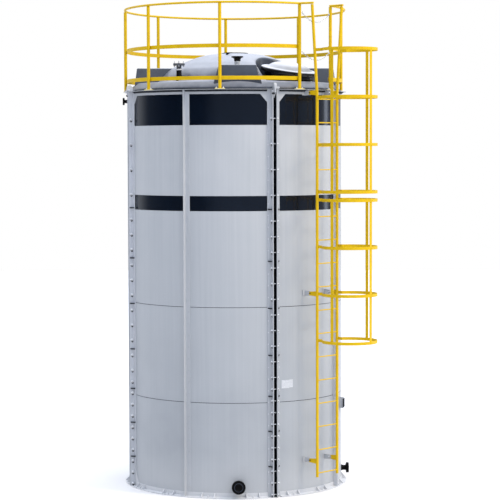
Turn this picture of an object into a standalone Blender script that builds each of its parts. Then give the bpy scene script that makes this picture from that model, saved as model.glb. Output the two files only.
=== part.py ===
# Vertical storage tank: a black moulded tank standing in a bolted steel jacket,
# with a guarded roof, a caged ladder and blanked nozzles.
# Metres, +Z up. Origin on the tank axis at ground level, front towards -Y.
# Azimuth is measured in degrees from -Y towards +X.
import math
import bmesh
import bpy
from mathutils import Matrix, Vector

GAP = 0.0003               # clearance between pieces that touch
JOINTS = (18.4, 108.1, 197.6, 287.1, 378.4)  # bolted joints of the jacket, once round
QUARTER_FACETS = 16        # sides that every curved piece follows in a quarter

JACKET_R = 1.450           # outside of the jacket plates
PLATE_T = 0.0045
LEG_T = 0.008              # legs of the angles and the base ring on the plates
FLANGE_R = 1.520           # reach of the joint flanges and the rings

LOWER_TOP = 3.748          # top of the lower plates, under the low windows
BAND_BOTTOM = 3.946
BAND_TOP = 4.865
RING_BOTTOM = 5.267        # top of the high windows
RING_TOP = 5.330
RING_T = 0.011             # thickness of the top flange
SEAMS = (1.245, 2.495)     # course seams of the lower plates
SEAM_H = 0.004
SEAM_D = 0.0015

JOINT_HALF_GAP = 0.025
JOINT_FLANGE_T = 0.009
JOINT_LEG = 0.085
LUG_TOP = 5.410
LUG_REACH = 1.532
CHAMFER_W = 0.090
CHAMFER_H = 0.105
STIFFENER_Z = (0.406, 0.869, 1.329, 1.865, 2.480, 3.094, 3.769)
STIFFENER_T = 0.012

BASE_H = 0.065
BASE_FLANGE_T = 0.012
CHAIRS_BY_LADDER = (29.0, 48.9, 69.3, 91.5)  # stiffened spots of the base ring
CHAIR_RIB_SPACING = 0.17
CHAIR_RIB_T = 0.010

STRIP_AZ = (63.2, 151.6, 241.1, 331.8)  # heel of the angle up the middle of a quarter
STRIP_W = 0.065
STRIP_T = 0.006
STRIP_REACH = 1.515        # its other leg stands out to this radius

TANK_R = JACKET_R - PLATE_T - GAP
WALL_T = 0.015
FLOOR_T = 0.015
SHELL_TOP = 5.3007
ROOF_OUTLINE = (
    (TANK_R, 5.301), (TANK_R, 5.336), (1.440, 5.357), (1.355, 5.436), (1.345, 5.440),
    (1.100, 5.452), (1.085, 5.462), (1.057, 5.477), (1.012, 5.540), (0.920, 5.622),
    (0.868, 5.650), (0.800, 5.683), (0.740, 5.712), (0.675, 5.738), (0.610, 5.765),
    (0.480, 5.812), (0.340, 5.840), (0.170, 5.852),
)
ROOF_HUB_R = 0.170
ROOF_HUB_TOP = 5.862
BOSS_AZ = (0.0, 90.0, 180.0, 270.0)
BOSS_FACE_R = 1.331
BOSS_FACE_SLOPE = 0.030
BOSS_INNER_R = 0.560
BOSS_TOP = 5.649
BOSS_HALF_TOP = 0.245
BOSS_HALF_FOOT = 0.316
BOSS_FOOT = 5.400

HATCH_AZ = 45.0
HATCH_R = 1.000
POCKET_R = 0.442
POCKET_FLOOR = 5.456
NECK_R = 0.335
NECK_TOP = 5.608
NECK_TILT = 11.0
LID_R = 0.384

NOZZLE_AZ = -46.5          # vent pipe on the dome
NOZZLE_R = 1.050
SPIGOT_TOP = 5.600
OUTLET_X = -0.009          # the front outlet sits a little left of the axis
DRAIN_Z = 0.147
NAME_PLATE_AZ = 76.0
NAME_PLATE_Z = 1.098
NAME_PLATE_STAND = 0.054   # back of the blank plate off the jacket

POST_R = 1.494
POST_RADIUS = 0.0214
POST_AZ = (56.4, 99.0, 141.0, 183.4, 225.0, 267.0, 309.0, 351.0, 392.8)
POST_PLATE = (0.052, 0.130, 0.008)
RAIL_OVERHANG = 0.5        # degrees past the gate posts
TOP_RAIL_Z = 6.438
TOP_RAIL_RADIUS = 0.0145
BAR_T = 0.006
BAR_H = 0.050
MID_BAR_Z = 5.890
LOW_BAR_Z = 5.475

LADDER_AZ = 45.0
LADDER_R = 1.661
STRINGER_HALF = 0.200
STRINGER_HALF_TOP = 0.296
STRINGER_RADIUS = 0.019
LADDER_BOTTOM = 0.245
FLARE_Z = 5.270
RUNG_Z = 0.296
RUNG_PITCH = 0.3066
RUNG_COUNT = 17
RUNG_RADIUS = 0.0075
BRACKET_Z = (0.456, 2.662, 5.288)
BRACKET_H = 0.056
BRACKET_T = 0.010

CAGE_CENTRE = 0.3840       # out from the ladder plane
CAGE_RADIUS = 0.3595
HOOP_H = 0.040
HOOP_T = 0.006
UPPER_HOOPS = (3.997, 4.609, 5.224, 5.838)
LOWER_HOOPS = (2.049, 2.661, 3.276, 3.890)
STRAP_W = 0.045
STRAP_ANGLES = (-90.0, 0.0, 90.0)

CHAIN_RADIUS = 0.005
CHAIN_Z = ((6.332, 6.216), (5.825, 5.719))

COLOURS = {
    "jacket_paint": ((0.36, 0.40, 0.44, 1.0), 0.45, 0.0),
    "joint_paint": ((0.38, 0.42, 0.46, 1.0), 0.45, 0.0),
    "tank_plastic": ((0.012, 0.014, 0.018, 1.0), 0.25, 0.0),
    "fitting_plastic": ((0.010, 0.010, 0.012, 1.0), 0.35, 0.0),
    "safety_yellow": ((0.80, 0.50, 0.02, 1.0), 0.40, 0.0),
    "plain_steel": ((0.45, 0.46, 0.47, 1.0), 0.35, 0.9),
    "dark_plate": ((0.03, 0.03, 0.035, 1.0), 0.40, 0.0),
}


def clear_scene():
    for obj in list(bpy.data.objects):
        bpy.data.objects.remove(obj, do_unlink=True)


def material(name, key):
    colour, roughness, metallic = COLOURS[key]
    mat = bpy.data.materials.new(name)
    mat.use_nodes = True
    shader = mat.node_tree.nodes["Principled BSDF"]
    shader.inputs["Base Color"].default_value = colour
    shader.inputs["Roughness"].default_value = roughness
    shader.inputs["Metallic"].default_value = metallic
    mat.diffuse_color = colour
    return mat


def polar(r, az, z=0.0):
    a = math.radians(az)
    return Vector((r * math.sin(a), -r * math.cos(a), z))


def quarter_at(az):
    # the quarter that holds this azimuth: its number, first joint and facet angle
    turned = (az - JOINTS[0]) % 360.0 + JOINTS[0]
    index = max(i for i in range(4) if JOINTS[i] <= turned + 1e-9)
    return index, turned, (JOINTS[index + 1] - JOINTS[index]) / QUARTER_FACETS


def ring_point(r, az, z):
    # a point on the faceted ring whose corners lie at radius r
    index, turned, step = quarter_at(az)
    turn = (turned - JOINTS[index]) / step
    half = math.radians(step / 2.0)
    offset = math.radians((turn - math.floor(turn)) * step) - half
    return polar(r * math.cos(half) / math.cos(offset), az, z)


def ring_corners():
    corners = []
    for first, last in zip(JOINTS, JOINTS[1:]):
        corners.extend(first + (last - first) * i / QUARTER_FACETS for i in range(QUARTER_FACETS))
    return corners


def ring_angles(start, end):
    inside = [az + turn for turn in (-360.0, 0.0, 360.0) for az in ring_corners()]
    return [start] + [az for az in inside if start + 1e-5 < az < end - 1e-5] + [end]


def tangent_az(distance, r=JACKET_R):
    return math.degrees(math.asin(distance / r))


def seat(r, az, half):
    # where a flat foot of this half width just clears the faceted ring
    reach = tangent_az(half, r)
    corners = ring_angles(az - reach, az + reach)
    return max(ring_point(r, a, 0.0).dot(polar(1.0, az)) for a in corners) + GAP


def finish(name, bm, key, smooth=0.0):
    bmesh.ops.remove_doubles(bm, verts=bm.verts, dist=0.00001)
    bmesh.ops.recalc_face_normals(bm, faces=bm.faces)
    mesh = bpy.data.meshes.new(name)
    bm.to_mesh(mesh)
    bm.free()
    obj = bpy.data.objects.new(name, mesh)
    bpy.context.scene.collection.objects.link(obj)
    mesh.materials.append(material(name + "_" + key, key))
    shade(obj, smooth)
    return obj


def shade(obj, angle):
    # smooth across edges flatter than the angle, crisp across the others
    if angle <= 0.0:
        return
    for face in obj.data.polygons:
        face.use_smooth = True
    bpy.ops.object.select_all(action="DESELECT")
    obj.select_set(True)
    bpy.context.view_layer.objects.active = obj
    bpy.ops.object.shade_smooth_by_angle(angle=math.radians(angle))


def loft(bm, sections, closed=False):
    rings = [[bm.verts.new(p) for p in section] for section in sections]
    count = len(rings[0])
    pairs = list(zip(rings, rings[1:]))
    if closed:
        pairs.append((rings[-1], rings[0]))
    for low, high in pairs:
        for i in range(count):
            j = (i + 1) % count
            bm.faces.new((low[i], low[j], high[j], high[i]))
    if not closed:
        bm.faces.new(rings[0])
        bm.faces.new(list(reversed(rings[-1])))
    return bm


def ring_sector(bm, start, end, profile):
    # profile is a list of (r, z), or a function of the azimuth that gives one
    shape = profile if callable(profile) else (lambda az: profile)
    sections = []
    for az in ring_angles(start, end):
        sections.append([ring_point(r, az, z) for r, z in shape(az)])
    return loft(bm, sections)


def turned_solid(bm, outline, frame=None, sides=0):
    # a solid of revolution: the outline runs from bottom to top, off the axis
    frame = frame or Matrix.Identity(4)
    angles = [360.0 * i / sides for i in range(sides)] if sides else ring_corners()
    return loft(bm, [[frame @ polar(r, az, z) for az in angles] for r, z in outline])


def prism(bm, outline, frame, low, high):
    # the outline is flat in the frame's x and y, and runs from low to high in z
    bottom = [frame @ Vector((x, y, low)) for x, y in outline]
    top = [frame @ Vector((x, y, high)) for x, y in outline]
    return loft(bm, [bottom, top])


def block(bm, frame, x, y, z):
    outline = ((x[0], y[0]), (x[1], y[0]), (x[1], y[1]), (x[0], y[1]))
    return prism(bm, outline, frame, z[0], z[1])


def tube(bm, path, radius, sides=16):
    # a round bar along a path, mitred at each bend
    sections = []
    up = None
    for i, point in enumerate(path):
        before = (point - path[i - 1]).normalized() if i else None
        after = (path[i + 1] - point).normalized() if i + 1 < len(path) else None
        along = (before or after) + (after or before)
        along.normalize()
        run = after or before
        if up is None:
            up = run.orthogonal().normalized()
        side = run.cross(up).normalized()
        up = side.cross(run).normalized()
        ring = []
        for k in range(sides):
            a = 2.0 * math.pi * k / sides
            spoke = math.cos(a) * up + math.sin(a) * side
            shift = -spoke.dot(along) / run.dot(along)
            ring.append(point + radius * (spoke + shift * run))
        sections.append(ring)
    return loft(bm, sections)


def upright(az, r=0.0, z=0.0):
    # frame with x outward, y along increasing azimuth, z up
    out = polar(1.0, az)
    along = Vector((-out.y, out.x, 0.0))
    frame = Matrix.Identity(4)
    frame.col[0][:3] = out
    frame.col[1][:3] = along
    frame.col[2][:3] = (0.0, 0.0, 1.0)
    frame.col[3][:3] = out * r + Vector((0.0, 0.0, z))
    return frame


def outward(az, z):
    # frame with z outward, used for nozzles on the side
    out = polar(1.0, az)
    along = Vector((-out.y, out.x, 0.0))
    frame = Matrix.Identity(4)
    frame.col[0][:3] = along
    frame.col[1][:3] = (0.0, 0.0, 1.0)
    frame.col[2][:3] = out
    frame.col[3][:3] = (0.0, 0.0, z)
    return frame


def combine(target, bm, operation):
    mesh = bpy.data.meshes.new("shape")
    bmesh.ops.recalc_face_normals(bm, faces=bm.faces)
    bm.to_mesh(mesh)
    bm.free()
    other = bpy.data.objects.new("shape", mesh)
    bpy.context.scene.collection.objects.link(other)
    step = target.modifiers.new("shape", "BOOLEAN")
    step.operation = operation
    step.solver = "EXACT"
    step.object = other
    bpy.ops.object.select_all(action="DESELECT")
    target.select_set(True)
    bpy.context.view_layer.objects.active = target
    bpy.ops.object.modifier_apply(modifier=step.name)
    bpy.data.objects.remove(other, do_unlink=True)
    bpy.data.meshes.remove(mesh)
    return target


def plate_profile(low, high, seams=()):
    inner = JACKET_R - PLATE_T
    outer = JACKET_R
    profile = [(inner, low), (outer, low)]
    for z in seams:
        profile.append((outer, z - SEAM_H / 2.0))
        profile.append((outer - SEAM_D, z - SEAM_H / 2.0))
        profile.append((outer - SEAM_D, z + SEAM_H / 2.0))
        profile.append((outer, z + SEAM_H / 2.0))
    profile.extend([(outer, high), (inner, high)])
    return profile


def jacket_quarter(index):
    left, right = JOINTS[index:index + 2]
    margin = tangent_az(JOINT_HALF_GAP)
    tag = "_" + str(index + 1)
    start = left + margin
    end = right - margin

    bm = ring_sector(bmesh.new(), start, end, plate_profile(0.0, LOWER_TOP, SEAMS))
    finish("lower_plate" + tag, bm, "jacket_paint", 30.0)
    bm = ring_sector(bmesh.new(), start, end, plate_profile(BAND_BOTTOM, BAND_TOP))
    finish("band_plate" + tag, bm, "jacket_paint", 30.0)

    top_ring("top_ring" + tag, start, end, left, right)
    pitch = (right - left) / 4.0
    chairs = [left + pitch * (i + 0.5) for i in range(4)] if index else CHAIRS_BY_LADDER
    base_ring("base_ring" + tag, left, right, chairs)
    middle_strip("middle_strip" + tag, STRIP_AZ[index])
    joint_angle("joint_angle_right" + tag, left, 1.0)
    joint_angle("joint_angle_left" + tag, left, -1.0)


def top_ring(name, start, end, left, right):
    leg = tangent_az(JOINT_LEG + GAP)
    foot = tangent_az(JOINT_LEG + CHAMFER_W)
    inner = JACKET_R - PLATE_T

    def low_edge(az):
        near = min(az - left, right - az)
        if near <= leg:
            return RING_BOTTOM - CHAMFER_H
        if near >= foot:
            return RING_BOTTOM
        return RING_BOTTOM - CHAMFER_H * (foot - near) / (foot - leg)

    angles = sorted(set(ring_angles(start, end) + [left + leg, left + foot, right - leg, right - foot]))
    sections = []
    for az in angles:
        profile = (
            (inner, low_edge(az)), (JACKET_R, low_edge(az)), (JACKET_R, RING_TOP - RING_T),
            (FLANGE_R, RING_TOP - RING_T), (FLANGE_R, RING_TOP), (inner, RING_TOP),
        )
        sections.append([ring_point(r, az, z) for r, z in profile])
    finish(name, loft(bmesh.new(), sections), "jacket_paint", 30.0)


def base_ring(name, left, right, chairs):
    margin = tangent_az(JOINT_LEG + GAP)
    inner = JACKET_R + GAP
    profile = (
        (inner, 0.0), (FLANGE_R, 0.0), (FLANGE_R, BASE_FLANGE_T), (inner + LEG_T, BASE_FLANGE_T),
        (inner + LEG_T, BASE_H), (inner, BASE_H),
    )
    obj = finish(name, ring_sector(bmesh.new(), left + margin, right - margin, profile), "joint_paint", 30.0)
    bm = bmesh.new()
    for az in chairs:
        for side in (-1.0, 1.0):
            middle = side * CHAIR_RIB_SPACING / 2.0
            block(
                bm, upright(az), (inner + LEG_T - 0.004, FLANGE_R - 0.002),
                (middle - CHAIR_RIB_T / 2.0, middle + CHAIR_RIB_T / 2.0),
                (BASE_FLANGE_T - 0.002, BASE_H - 0.001),
            )
    combine(obj, bm, "UNION")


def middle_strip(name, az):
    # an upright angle: one leg flat on the plates, the other standing outward
    inner = JACKET_R + GAP
    edge = az + tangent_az(STRIP_T)
    angles = sorted(set(ring_angles(az, az + tangent_az(STRIP_W)) + [edge]))
    outside = []
    for a in angles:
        if a <= edge:
            outside.append(ring_point(STRIP_REACH, a, 0.0))
        if a >= edge:
            outside.append(ring_point(inner + STRIP_T, a, 0.0))
    outline = [ring_point(inner, a, 0.0) for a in angles] + list(reversed(outside))
    high = RING_TOP - RING_T - GAP
    sections = [[Vector((p.x, p.y, z)) for p in outline] for z in (BASE_H + GAP, high)]
    obj = finish(name, loft(bmesh.new(), sections), "joint_paint")
    # the standing leg goes on down outside the base ring
    root = inner + LEG_T + GAP
    profile = (
        (root, BASE_FLANGE_T + GAP), (STRIP_REACH, BASE_FLANGE_T + GAP),
        (STRIP_REACH, BASE_H + 0.010), (root, BASE_H + 0.010),
    )
    combine(obj, ring_sector(bmesh.new(), az, edge, profile), "UNION")


def joint_angle(name, az, side):
    # cross-section in the joint's own frame, x outward and y along the ring
    slope = math.tan(math.radians(quarter_at(az + side)[2] / 2.0))
    inner = JACKET_R + GAP
    outer = inner + LEG_T
    near = JOINT_HALF_GAP
    web = near + JOINT_FLANGE_T
    outline = (
        (inner - near * slope, side * near), (FLANGE_R, side * near), (FLANGE_R, side * web),
        (outer - web * slope, side * web), (outer - JOINT_LEG * slope, side * JOINT_LEG),
        (inner - JOINT_LEG * slope, side * JOINT_LEG),
    )
    obj = finish(name, prism(bmesh.new(), outline, upright(az), 0.0, RING_TOP - RING_T - GAP), "joint_paint")
    bm = bmesh.new()
    for z in STIFFENER_Z:
        foot = outer - web * slope - 0.003
        triangle = (
            (foot, side * (web - 0.003)), (FLANGE_R - 0.006, side * (web - 0.003)),
            (FLANGE_R - 0.006, side * (web + 0.004)), (foot, side * (JOINT_LEG - 0.006)),
        )
        prism(bm, triangle, upright(az), z - STIFFENER_T / 2.0, z + STIFFENER_T / 2.0)
    combine(obj, bm, "UNION")
    if side < 0.0:
        for piece in lifting_lug(az):
            combine(obj, piece, "UNION")
        spacer = block(
            bmesh.new(), upright(az), (JACKET_R + 0.008, FLANGE_R - 0.006),
            (-JOINT_HALF_GAP - 0.002, -0.007), (5.240, 5.314),
        )
        combine(obj, spacer, "UNION")


def lifting_lug(az):
    # an eye plate between the two flanges, packed out above them
    inner = JACKET_R + 0.004
    outer = LUG_REACH
    split = RING_TOP + 0.002
    frame = upright(az) @ Matrix.Rotation(math.radians(90.0), 4, "X")
    foot = ((inner, 5.215), (inner + 0.022, 5.215), (outer, 5.290), (outer, split), (inner, split))
    middle = (inner + outer) / 2.0
    reach = (outer - inner) / 2.0 - 0.001
    eye = [(middle - reach, split - 0.002), (middle + reach, split - 0.002)]
    for i in range(9):
        a = math.radians(180.0 * i / 8.0)
        eye.append((middle + reach * math.cos(a), LUG_TOP - reach * (1.0 - math.sin(a))))
    return (
        prism(bmesh.new(), foot, frame, -0.009, 0.009),
        prism(bmesh.new(), eye, frame, -0.022, 0.012),
    )


def tank():
    # wall and floor are one moulding, open at the top under the roof
    inner = TANK_R - WALL_T
    bm = turned_solid(bmesh.new(), (
        (TANK_R, 0.0), (TANK_R, SHELL_TOP), (inner, SHELL_TOP), (inner, FLOOR_T),
    ))
    finish("tank_shell", bm, "tank_plastic", 30.0)
    roof()


def roof_outline(inset):
    # the roof's section moved inward by the wall, bottom to top
    points = list(ROOF_OUTLINE)
    moved = []
    for i, (r, z) in enumerate(points):
        before = points[max(i - 1, 0)]
        after = points[min(i + 1, len(points) - 1)]
        along = Vector((after[0] - before[0], after[1] - before[1]))
        along.normalize()
        moved.append((r - inset * along.y, z + inset * along.x))
    return moved


def boss(bm, az, inset):
    frame = upright(az)
    face = BOSS_FACE_R - inset
    half_top = BOSS_HALF_TOP - inset
    half_foot = BOSS_HALF_FOOT - inset
    top = BOSS_TOP - inset
    low = BOSS_FOOT - (0.06 if inset else 0.0)
    toe = face + BOSS_FACE_SLOPE
    foot = [(BOSS_INNER_R, -half_foot), (toe, -half_foot), (toe, half_foot), (BOSS_INNER_R, half_foot)]
    crown = [(BOSS_INNER_R, -half_top), (face, -half_top), (face, half_top), (BOSS_INNER_R, half_top)]
    loft(bm, [
        [frame @ Vector((x, y, low)) for x, y in foot],
        [frame @ Vector((x, y, top)) for x, y in crown],
    ])


def hatch_frame():
    frame = upright(HATCH_AZ, HATCH_R, 0.0)
    tilt = Matrix.Rotation(math.radians(NECK_TILT), 4, "Y")
    lift = Matrix.Translation((0.0, 0.0, NECK_TOP))
    return frame @ lift @ tilt


def roof():
    outer = list(ROOF_OUTLINE)
    outer[-1] = (ROOF_HUB_R, outer[-1][1])
    outer.append((ROOF_HUB_R - 0.004, ROOF_HUB_TOP))
    obj = finish("tank_roof", turned_solid(bmesh.new(), outer), "tank_plastic")
    for az in BOSS_AZ:
        bm = bmesh.new()
        boss(bm, az, 0.0)
        combine(obj, bm, "UNION")

    hollow = roof_outline(WALL_T)
    hollow[0] = (TANK_R - WALL_T, 5.200)
    room = finish("room", turned_solid(bmesh.new(), hollow), "tank_plastic")
    for az in BOSS_AZ:
        bm = bmesh.new()
        boss(bm, az, WALL_T)
        combine(room, bm, "UNION")
    pocket = upright(HATCH_AZ, HATCH_R, 0.0)
    reach = POCKET_R + WALL_T
    bm = turned_solid(bmesh.new(), ((reach, POCKET_FLOOR - WALL_T), (reach, 6.0)), pocket, 48)
    combine(room, bm, "DIFFERENCE")

    bm = turned_solid(bmesh.new(), ((POCKET_R, POCKET_FLOOR), (POCKET_R, 6.0)), pocket, 48)
    combine(obj, bm, "DIFFERENCE")
    hollow_mesh = bmesh.new()
    hollow_mesh.from_mesh(room.data)
    bpy.data.objects.remove(room, do_unlink=True)
    combine(obj, hollow_mesh, "DIFFERENCE")

    frame = hatch_frame()
    combine(obj, neck_loft(frame, NECK_R, POCKET_FLOOR - 0.008, 0.0), "UNION")
    combine(obj, neck_loft(frame, NECK_R - WALL_T, POCKET_FLOOR - 0.060, 0.1), "DIFFERENCE")
    pad = upright(NOZZLE_AZ, NOZZLE_R, 0.0)
    bm = turned_solid(bmesh.new(), ((0.036, 5.450), (0.035, SPIGOT_TOP)), pad, 28)
    combine(obj, bm, "UNION")
    shade(obj, 32.0)
    hatch_lid(frame)


def neck_loft(frame, r, low, high):
    # upright at the foot, cut on the slant of the hatch at the top
    foot = upright(HATCH_AZ, HATCH_R, 0.0)
    angles = [10.0 * i for i in range(36)]
    bottom = [foot @ polar(r, az, low) for az in angles]
    return loft(bmesh.new(), [bottom, [frame @ polar(r, az, high) for az in angles]])


def hatch_lid(frame):
    lid = (
        (NECK_R + 0.004, -0.045), (LID_R - 0.012, -0.045), (LID_R, -0.030), (LID_R, 0.000),
        (LID_R - 0.020, 0.012),
        (0.305, 0.016), (0.280, 0.034), (0.230, 0.064), (0.165, 0.084), (0.090, 0.093), (0.012, 0.095),
    )
    obj = finish("manhole_lid", turned_solid(bmesh.new(), lid, frame, 36), "fitting_plastic")
    combine(obj, neck_loft(frame, NECK_R + GAP * 2.0, POCKET_FLOOR, GAP), "DIFFERENCE")
    shade(obj, 32.0)


def turned_fitting(name, outline, frame, key="fitting_plastic", sides=28):
    finish(name, turned_solid(bmesh.new(), outline, frame, sides), key, 32.0)


def nozzles():
    stand = SPIGOT_TOP + GAP
    outline = (
        (0.036, stand), (0.042, stand + 0.010), (0.042, stand + 0.017), (0.0325, stand + 0.020),
        (0.0325, 5.662), (0.0775, 5.664), (0.0775, 5.677), (0.0765, 5.678), (0.0775, 5.679), (0.0775, 5.691),
    )
    turned_fitting("roof_nozzle", outline, upright(NOZZLE_AZ, NOZZLE_R, 0.0))
    stand = BOSS_TOP + GAP
    outline = (
        (0.046, stand), (0.044, stand + 0.012), (0.036, stand + 0.016), (0.036, 5.698),
        (0.042, 5.701), (0.0777, 5.745), (0.0777, 5.762),
    )
    turned_fitting("roof_vent", outline, upright(0.0, 1.19, 0.0))
    root = seat(JACKET_R, 0.0, 0.075)
    outline = (
        (0.060, root), (0.060, 1.524), (0.090, 1.526), (0.090, 1.546), (0.089, 1.548), (0.090, 1.550),
        (0.090, 1.566),
    )
    frame = outward(0.0, 0.156) @ Matrix.Translation((OUTLET_X, 0.0, 0.0))
    turned_fitting("front_outlet", outline, frame)
    root = seat(JACKET_R, 90.0, 0.050)
    outline = (
        (0.050, root), (0.036, 1.480), (0.036, 1.518), (0.0725, 1.524), (0.0725, 1.543), (0.0715, 1.545),
        (0.0725, 1.547), (0.0725, 1.560),
    )
    turned_fitting("side_drain", outline, outward(90.0, DRAIN_Z))
    root = seat(TANK_R, -90.0, 0.034)
    outline = (
        (0.034, root), (0.026, 1.470), (0.020, 1.500), (0.0475, 1.512), (0.0475, 1.530), (0.045, 1.5325),
    )
    turned_fitting("overflow_nozzle", outline, outward(-90.0, 5.206))


def name_plate():
    # a blank plate on a channel that stands off the jacket
    frame = outward(NAME_PLATE_AZ, NAME_PLATE_Z)
    reach = JACKET_R + NAME_PLATE_STAND
    plate = block(bmesh.new(), frame, (-0.065, 0.065), (-0.060, 0.060), (reach, reach + 0.003))
    obj = finish("plate_bracket", plate, "dark_plate")
    foot = seat(JACKET_R, NAME_PLATE_AZ, 0.052)
    for side in (-1.0, 1.0):
        edges = sorted((side * 0.048, side * 0.052))
        combine(obj, block(bmesh.new(), frame, edges, (-0.068, 0.068), (foot, reach + 0.001)), "UNION")


def guardrail():
    for number, az in enumerate(POST_AZ):
        frame = upright(az, POST_R, 0.0)
        half_x, half_y, thick = POST_PLATE[0] / 2.0, POST_PLATE[1] / 2.0, POST_PLATE[2]
        low = RING_TOP + GAP
        bm = block(bmesh.new(), frame, (-half_x, half_x), (-half_y, half_y), (low, low + thick))
        obj = finish("post_" + str(number + 1), bm, "safety_yellow")
        high = TOP_RAIL_Z - TOP_RAIL_RADIUS - GAP
        bm = turned_solid(bmesh.new(), ((POST_RADIUS, low + thick * 0.5), (POST_RADIUS, high)), frame, 16)
        combine(obj, bm, "UNION")
        shade(obj, 32.0)
    outer = POST_R - POST_RADIUS - GAP
    angles = rail_angles()
    angles[0] -= RAIL_OVERHANG
    angles[-1] += RAIL_OVERHANG
    for name, z in (("middle_rail", MID_BAR_Z), ("lower_rail", LOW_BAR_Z)):
        profile = (
            (outer - BAR_T, z - BAR_H / 2.0), (outer, z - BAR_H / 2.0),
            (outer, z + BAR_H / 2.0), (outer - BAR_T, z + BAR_H / 2.0),
        )
        sections = [[polar(r, az, h) for r, h in profile] for az in angles]
        finish(name, loft(bmesh.new(), sections), "safety_yellow", 30.0)
    # the top rail turns outward at the gate posts and rests on the ladder's stringers
    frame = upright(LADDER_AZ, LADDER_R, 0.0)
    path = [polar(POST_R, az, TOP_RAIL_Z) for az in rail_angles()]
    path.insert(0, frame @ Vector((STRINGER_RADIUS, STRINGER_HALF_TOP, TOP_RAIL_Z)))
    path.append(frame @ Vector((STRINGER_RADIUS, -STRINGER_HALF_TOP, TOP_RAIL_Z)))
    finish("top_rail", tube(bmesh.new(), path, TOP_RAIL_RADIUS, 10), "safety_yellow", 35.0)


def rail_angles():
    # corners of the bent rails: one at every post and seven between
    angles = []
    for first, last in zip(POST_AZ, POST_AZ[1:]):
        angles.extend(first + (last - first) * i / 8.0 for i in range(8))
    return angles + [POST_AZ[-1]]


def stringer_half(z):
    share = max(0.0, (z - FLARE_Z) / (TOP_RAIL_Z - FLARE_Z))
    return STRINGER_HALF + (STRINGER_HALF_TOP - STRINGER_HALF) * share


def ladder():
    frame = upright(LADDER_AZ, LADDER_R, 0.0)
    obj = None
    for side in (-1.0, 1.0):
        path = [
            frame @ Vector((0.0, side * STRINGER_HALF, LADDER_BOTTOM)),
            frame @ Vector((0.0, side * STRINGER_HALF, FLARE_Z)),
            frame @ Vector((0.0, side * STRINGER_HALF_TOP, TOP_RAIL_Z - TOP_RAIL_RADIUS - GAP * 2.0)),
        ]
        bm = tube(bmesh.new(), path, STRINGER_RADIUS)
        if obj is None:
            obj = finish("ladder", bm, "safety_yellow")
        else:
            between_stringers(obj, frame)
            combine(obj, bm, "UNION")
    shade(obj, 32.0)
    ladder_brackets(frame)


def between_stringers(obj, frame):
    bm = bmesh.new()
    for i in range(RUNG_COUNT):
        z = RUNG_Z + RUNG_PITCH * i
        half = stringer_half(z)
        tube(bm, [frame @ Vector((0.0, -half, z)), frame @ Vector((0.0, half, z))], RUNG_RADIUS, 12)
    combine(obj, bm, "UNION")


def ladder_brackets(frame):
    number = 0
    for z in BRACKET_Z:
        half = stringer_half(z)
        for side in (-1.0, 1.0):
            number += 1
            edges = (side * half - BRACKET_T / 2.0, side * half + BRACKET_T / 2.0)
            feet = [ring_point(JACKET_R, LADDER_AZ + tangent_az(y), 0.0) for y in edges]
            foot = max(p.dot(polar(1.0, LADDER_AZ)) for p in feet) - LADDER_R + GAP * 2.0
            bm = block(
                bmesh.new(), frame, (foot, -STRINGER_RADIUS - GAP), edges,
                (z - BRACKET_H / 2.0, z + BRACKET_H / 2.0),
            )
            finish("ladder_bracket_" + str(number), bm, "safety_yellow")


def ribbon(bm, path, thickness, frame, low, high):
    # a flat bar on edge that follows a flat path
    left = []
    right = []
    for i, point in enumerate(path):
        before = (point - path[i - 1]).normalized() if i else None
        after = (path[i + 1] - point).normalized() if i + 1 < len(path) else None
        first = before or after
        second = after or before
        normal = Vector((-(first.y + second.y), first.x + second.x)).normalized()
        reach = thickness / 2.0 / max(0.3, normal.dot(Vector((-first.y, first.x))))
        left.append(point + normal * reach)
        right.append(point - normal * reach)
    bottom = [[frame @ Vector((p.x, p.y, low)), frame @ Vector((q.x, q.y, low))] for p, q in zip(left, right)]
    top = [[frame @ Vector((p.x, p.y, high)), frame @ Vector((q.x, q.y, high))] for p, q in zip(left, right)]
    sections = [[b[0], b[1], t[1], t[0]] for b, t in zip(bottom, top)]
    return loft(bm, sections)


def hoop_path(z):
    half = stringer_half(z)
    end = math.degrees(math.asin(half / CAGE_RADIUS))
    path = [Vector((STRINGER_RADIUS + 0.0006, -half))]
    count = 20
    for i in range(count + 1):
        a = math.radians(-180.0 + end + (360.0 - 2.0 * end) * i / count)
        path.append(Vector((CAGE_CENTRE + CAGE_RADIUS * math.cos(a), CAGE_RADIUS * math.sin(a))))
    path.append(Vector((STRINGER_RADIUS + 0.0006, half)))
    return path


def cage(name, levels):
    frame = upright(LADDER_AZ, LADDER_R, 0.0)
    bm = bmesh.new()
    for z in levels:
        ribbon(bm, hoop_path(z), HOOP_T, frame, z - HOOP_H / 2.0, z + HOOP_H / 2.0)
    obj = finish(name, bm, "safety_yellow")
    bm = bmesh.new()
    centre = upright(LADDER_AZ, LADDER_R + CAGE_CENTRE, 0.0)
    outer = CAGE_RADIUS - HOOP_T / 2.0 + 0.001
    for angle in STRAP_ANGLES:
        turn = centre @ Matrix.Rotation(math.radians(angle), 4, "Z")
        block(
            bm, turn, (outer - HOOP_T, outer), (-STRAP_W / 2.0, STRAP_W / 2.0),
            (levels[0] - HOOP_H / 2.0 + 0.002, levels[-1] + HOOP_H / 2.0 - 0.002),
        )
    combine(obj, bm, "UNION")
    shade(obj, 25.0)


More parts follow.
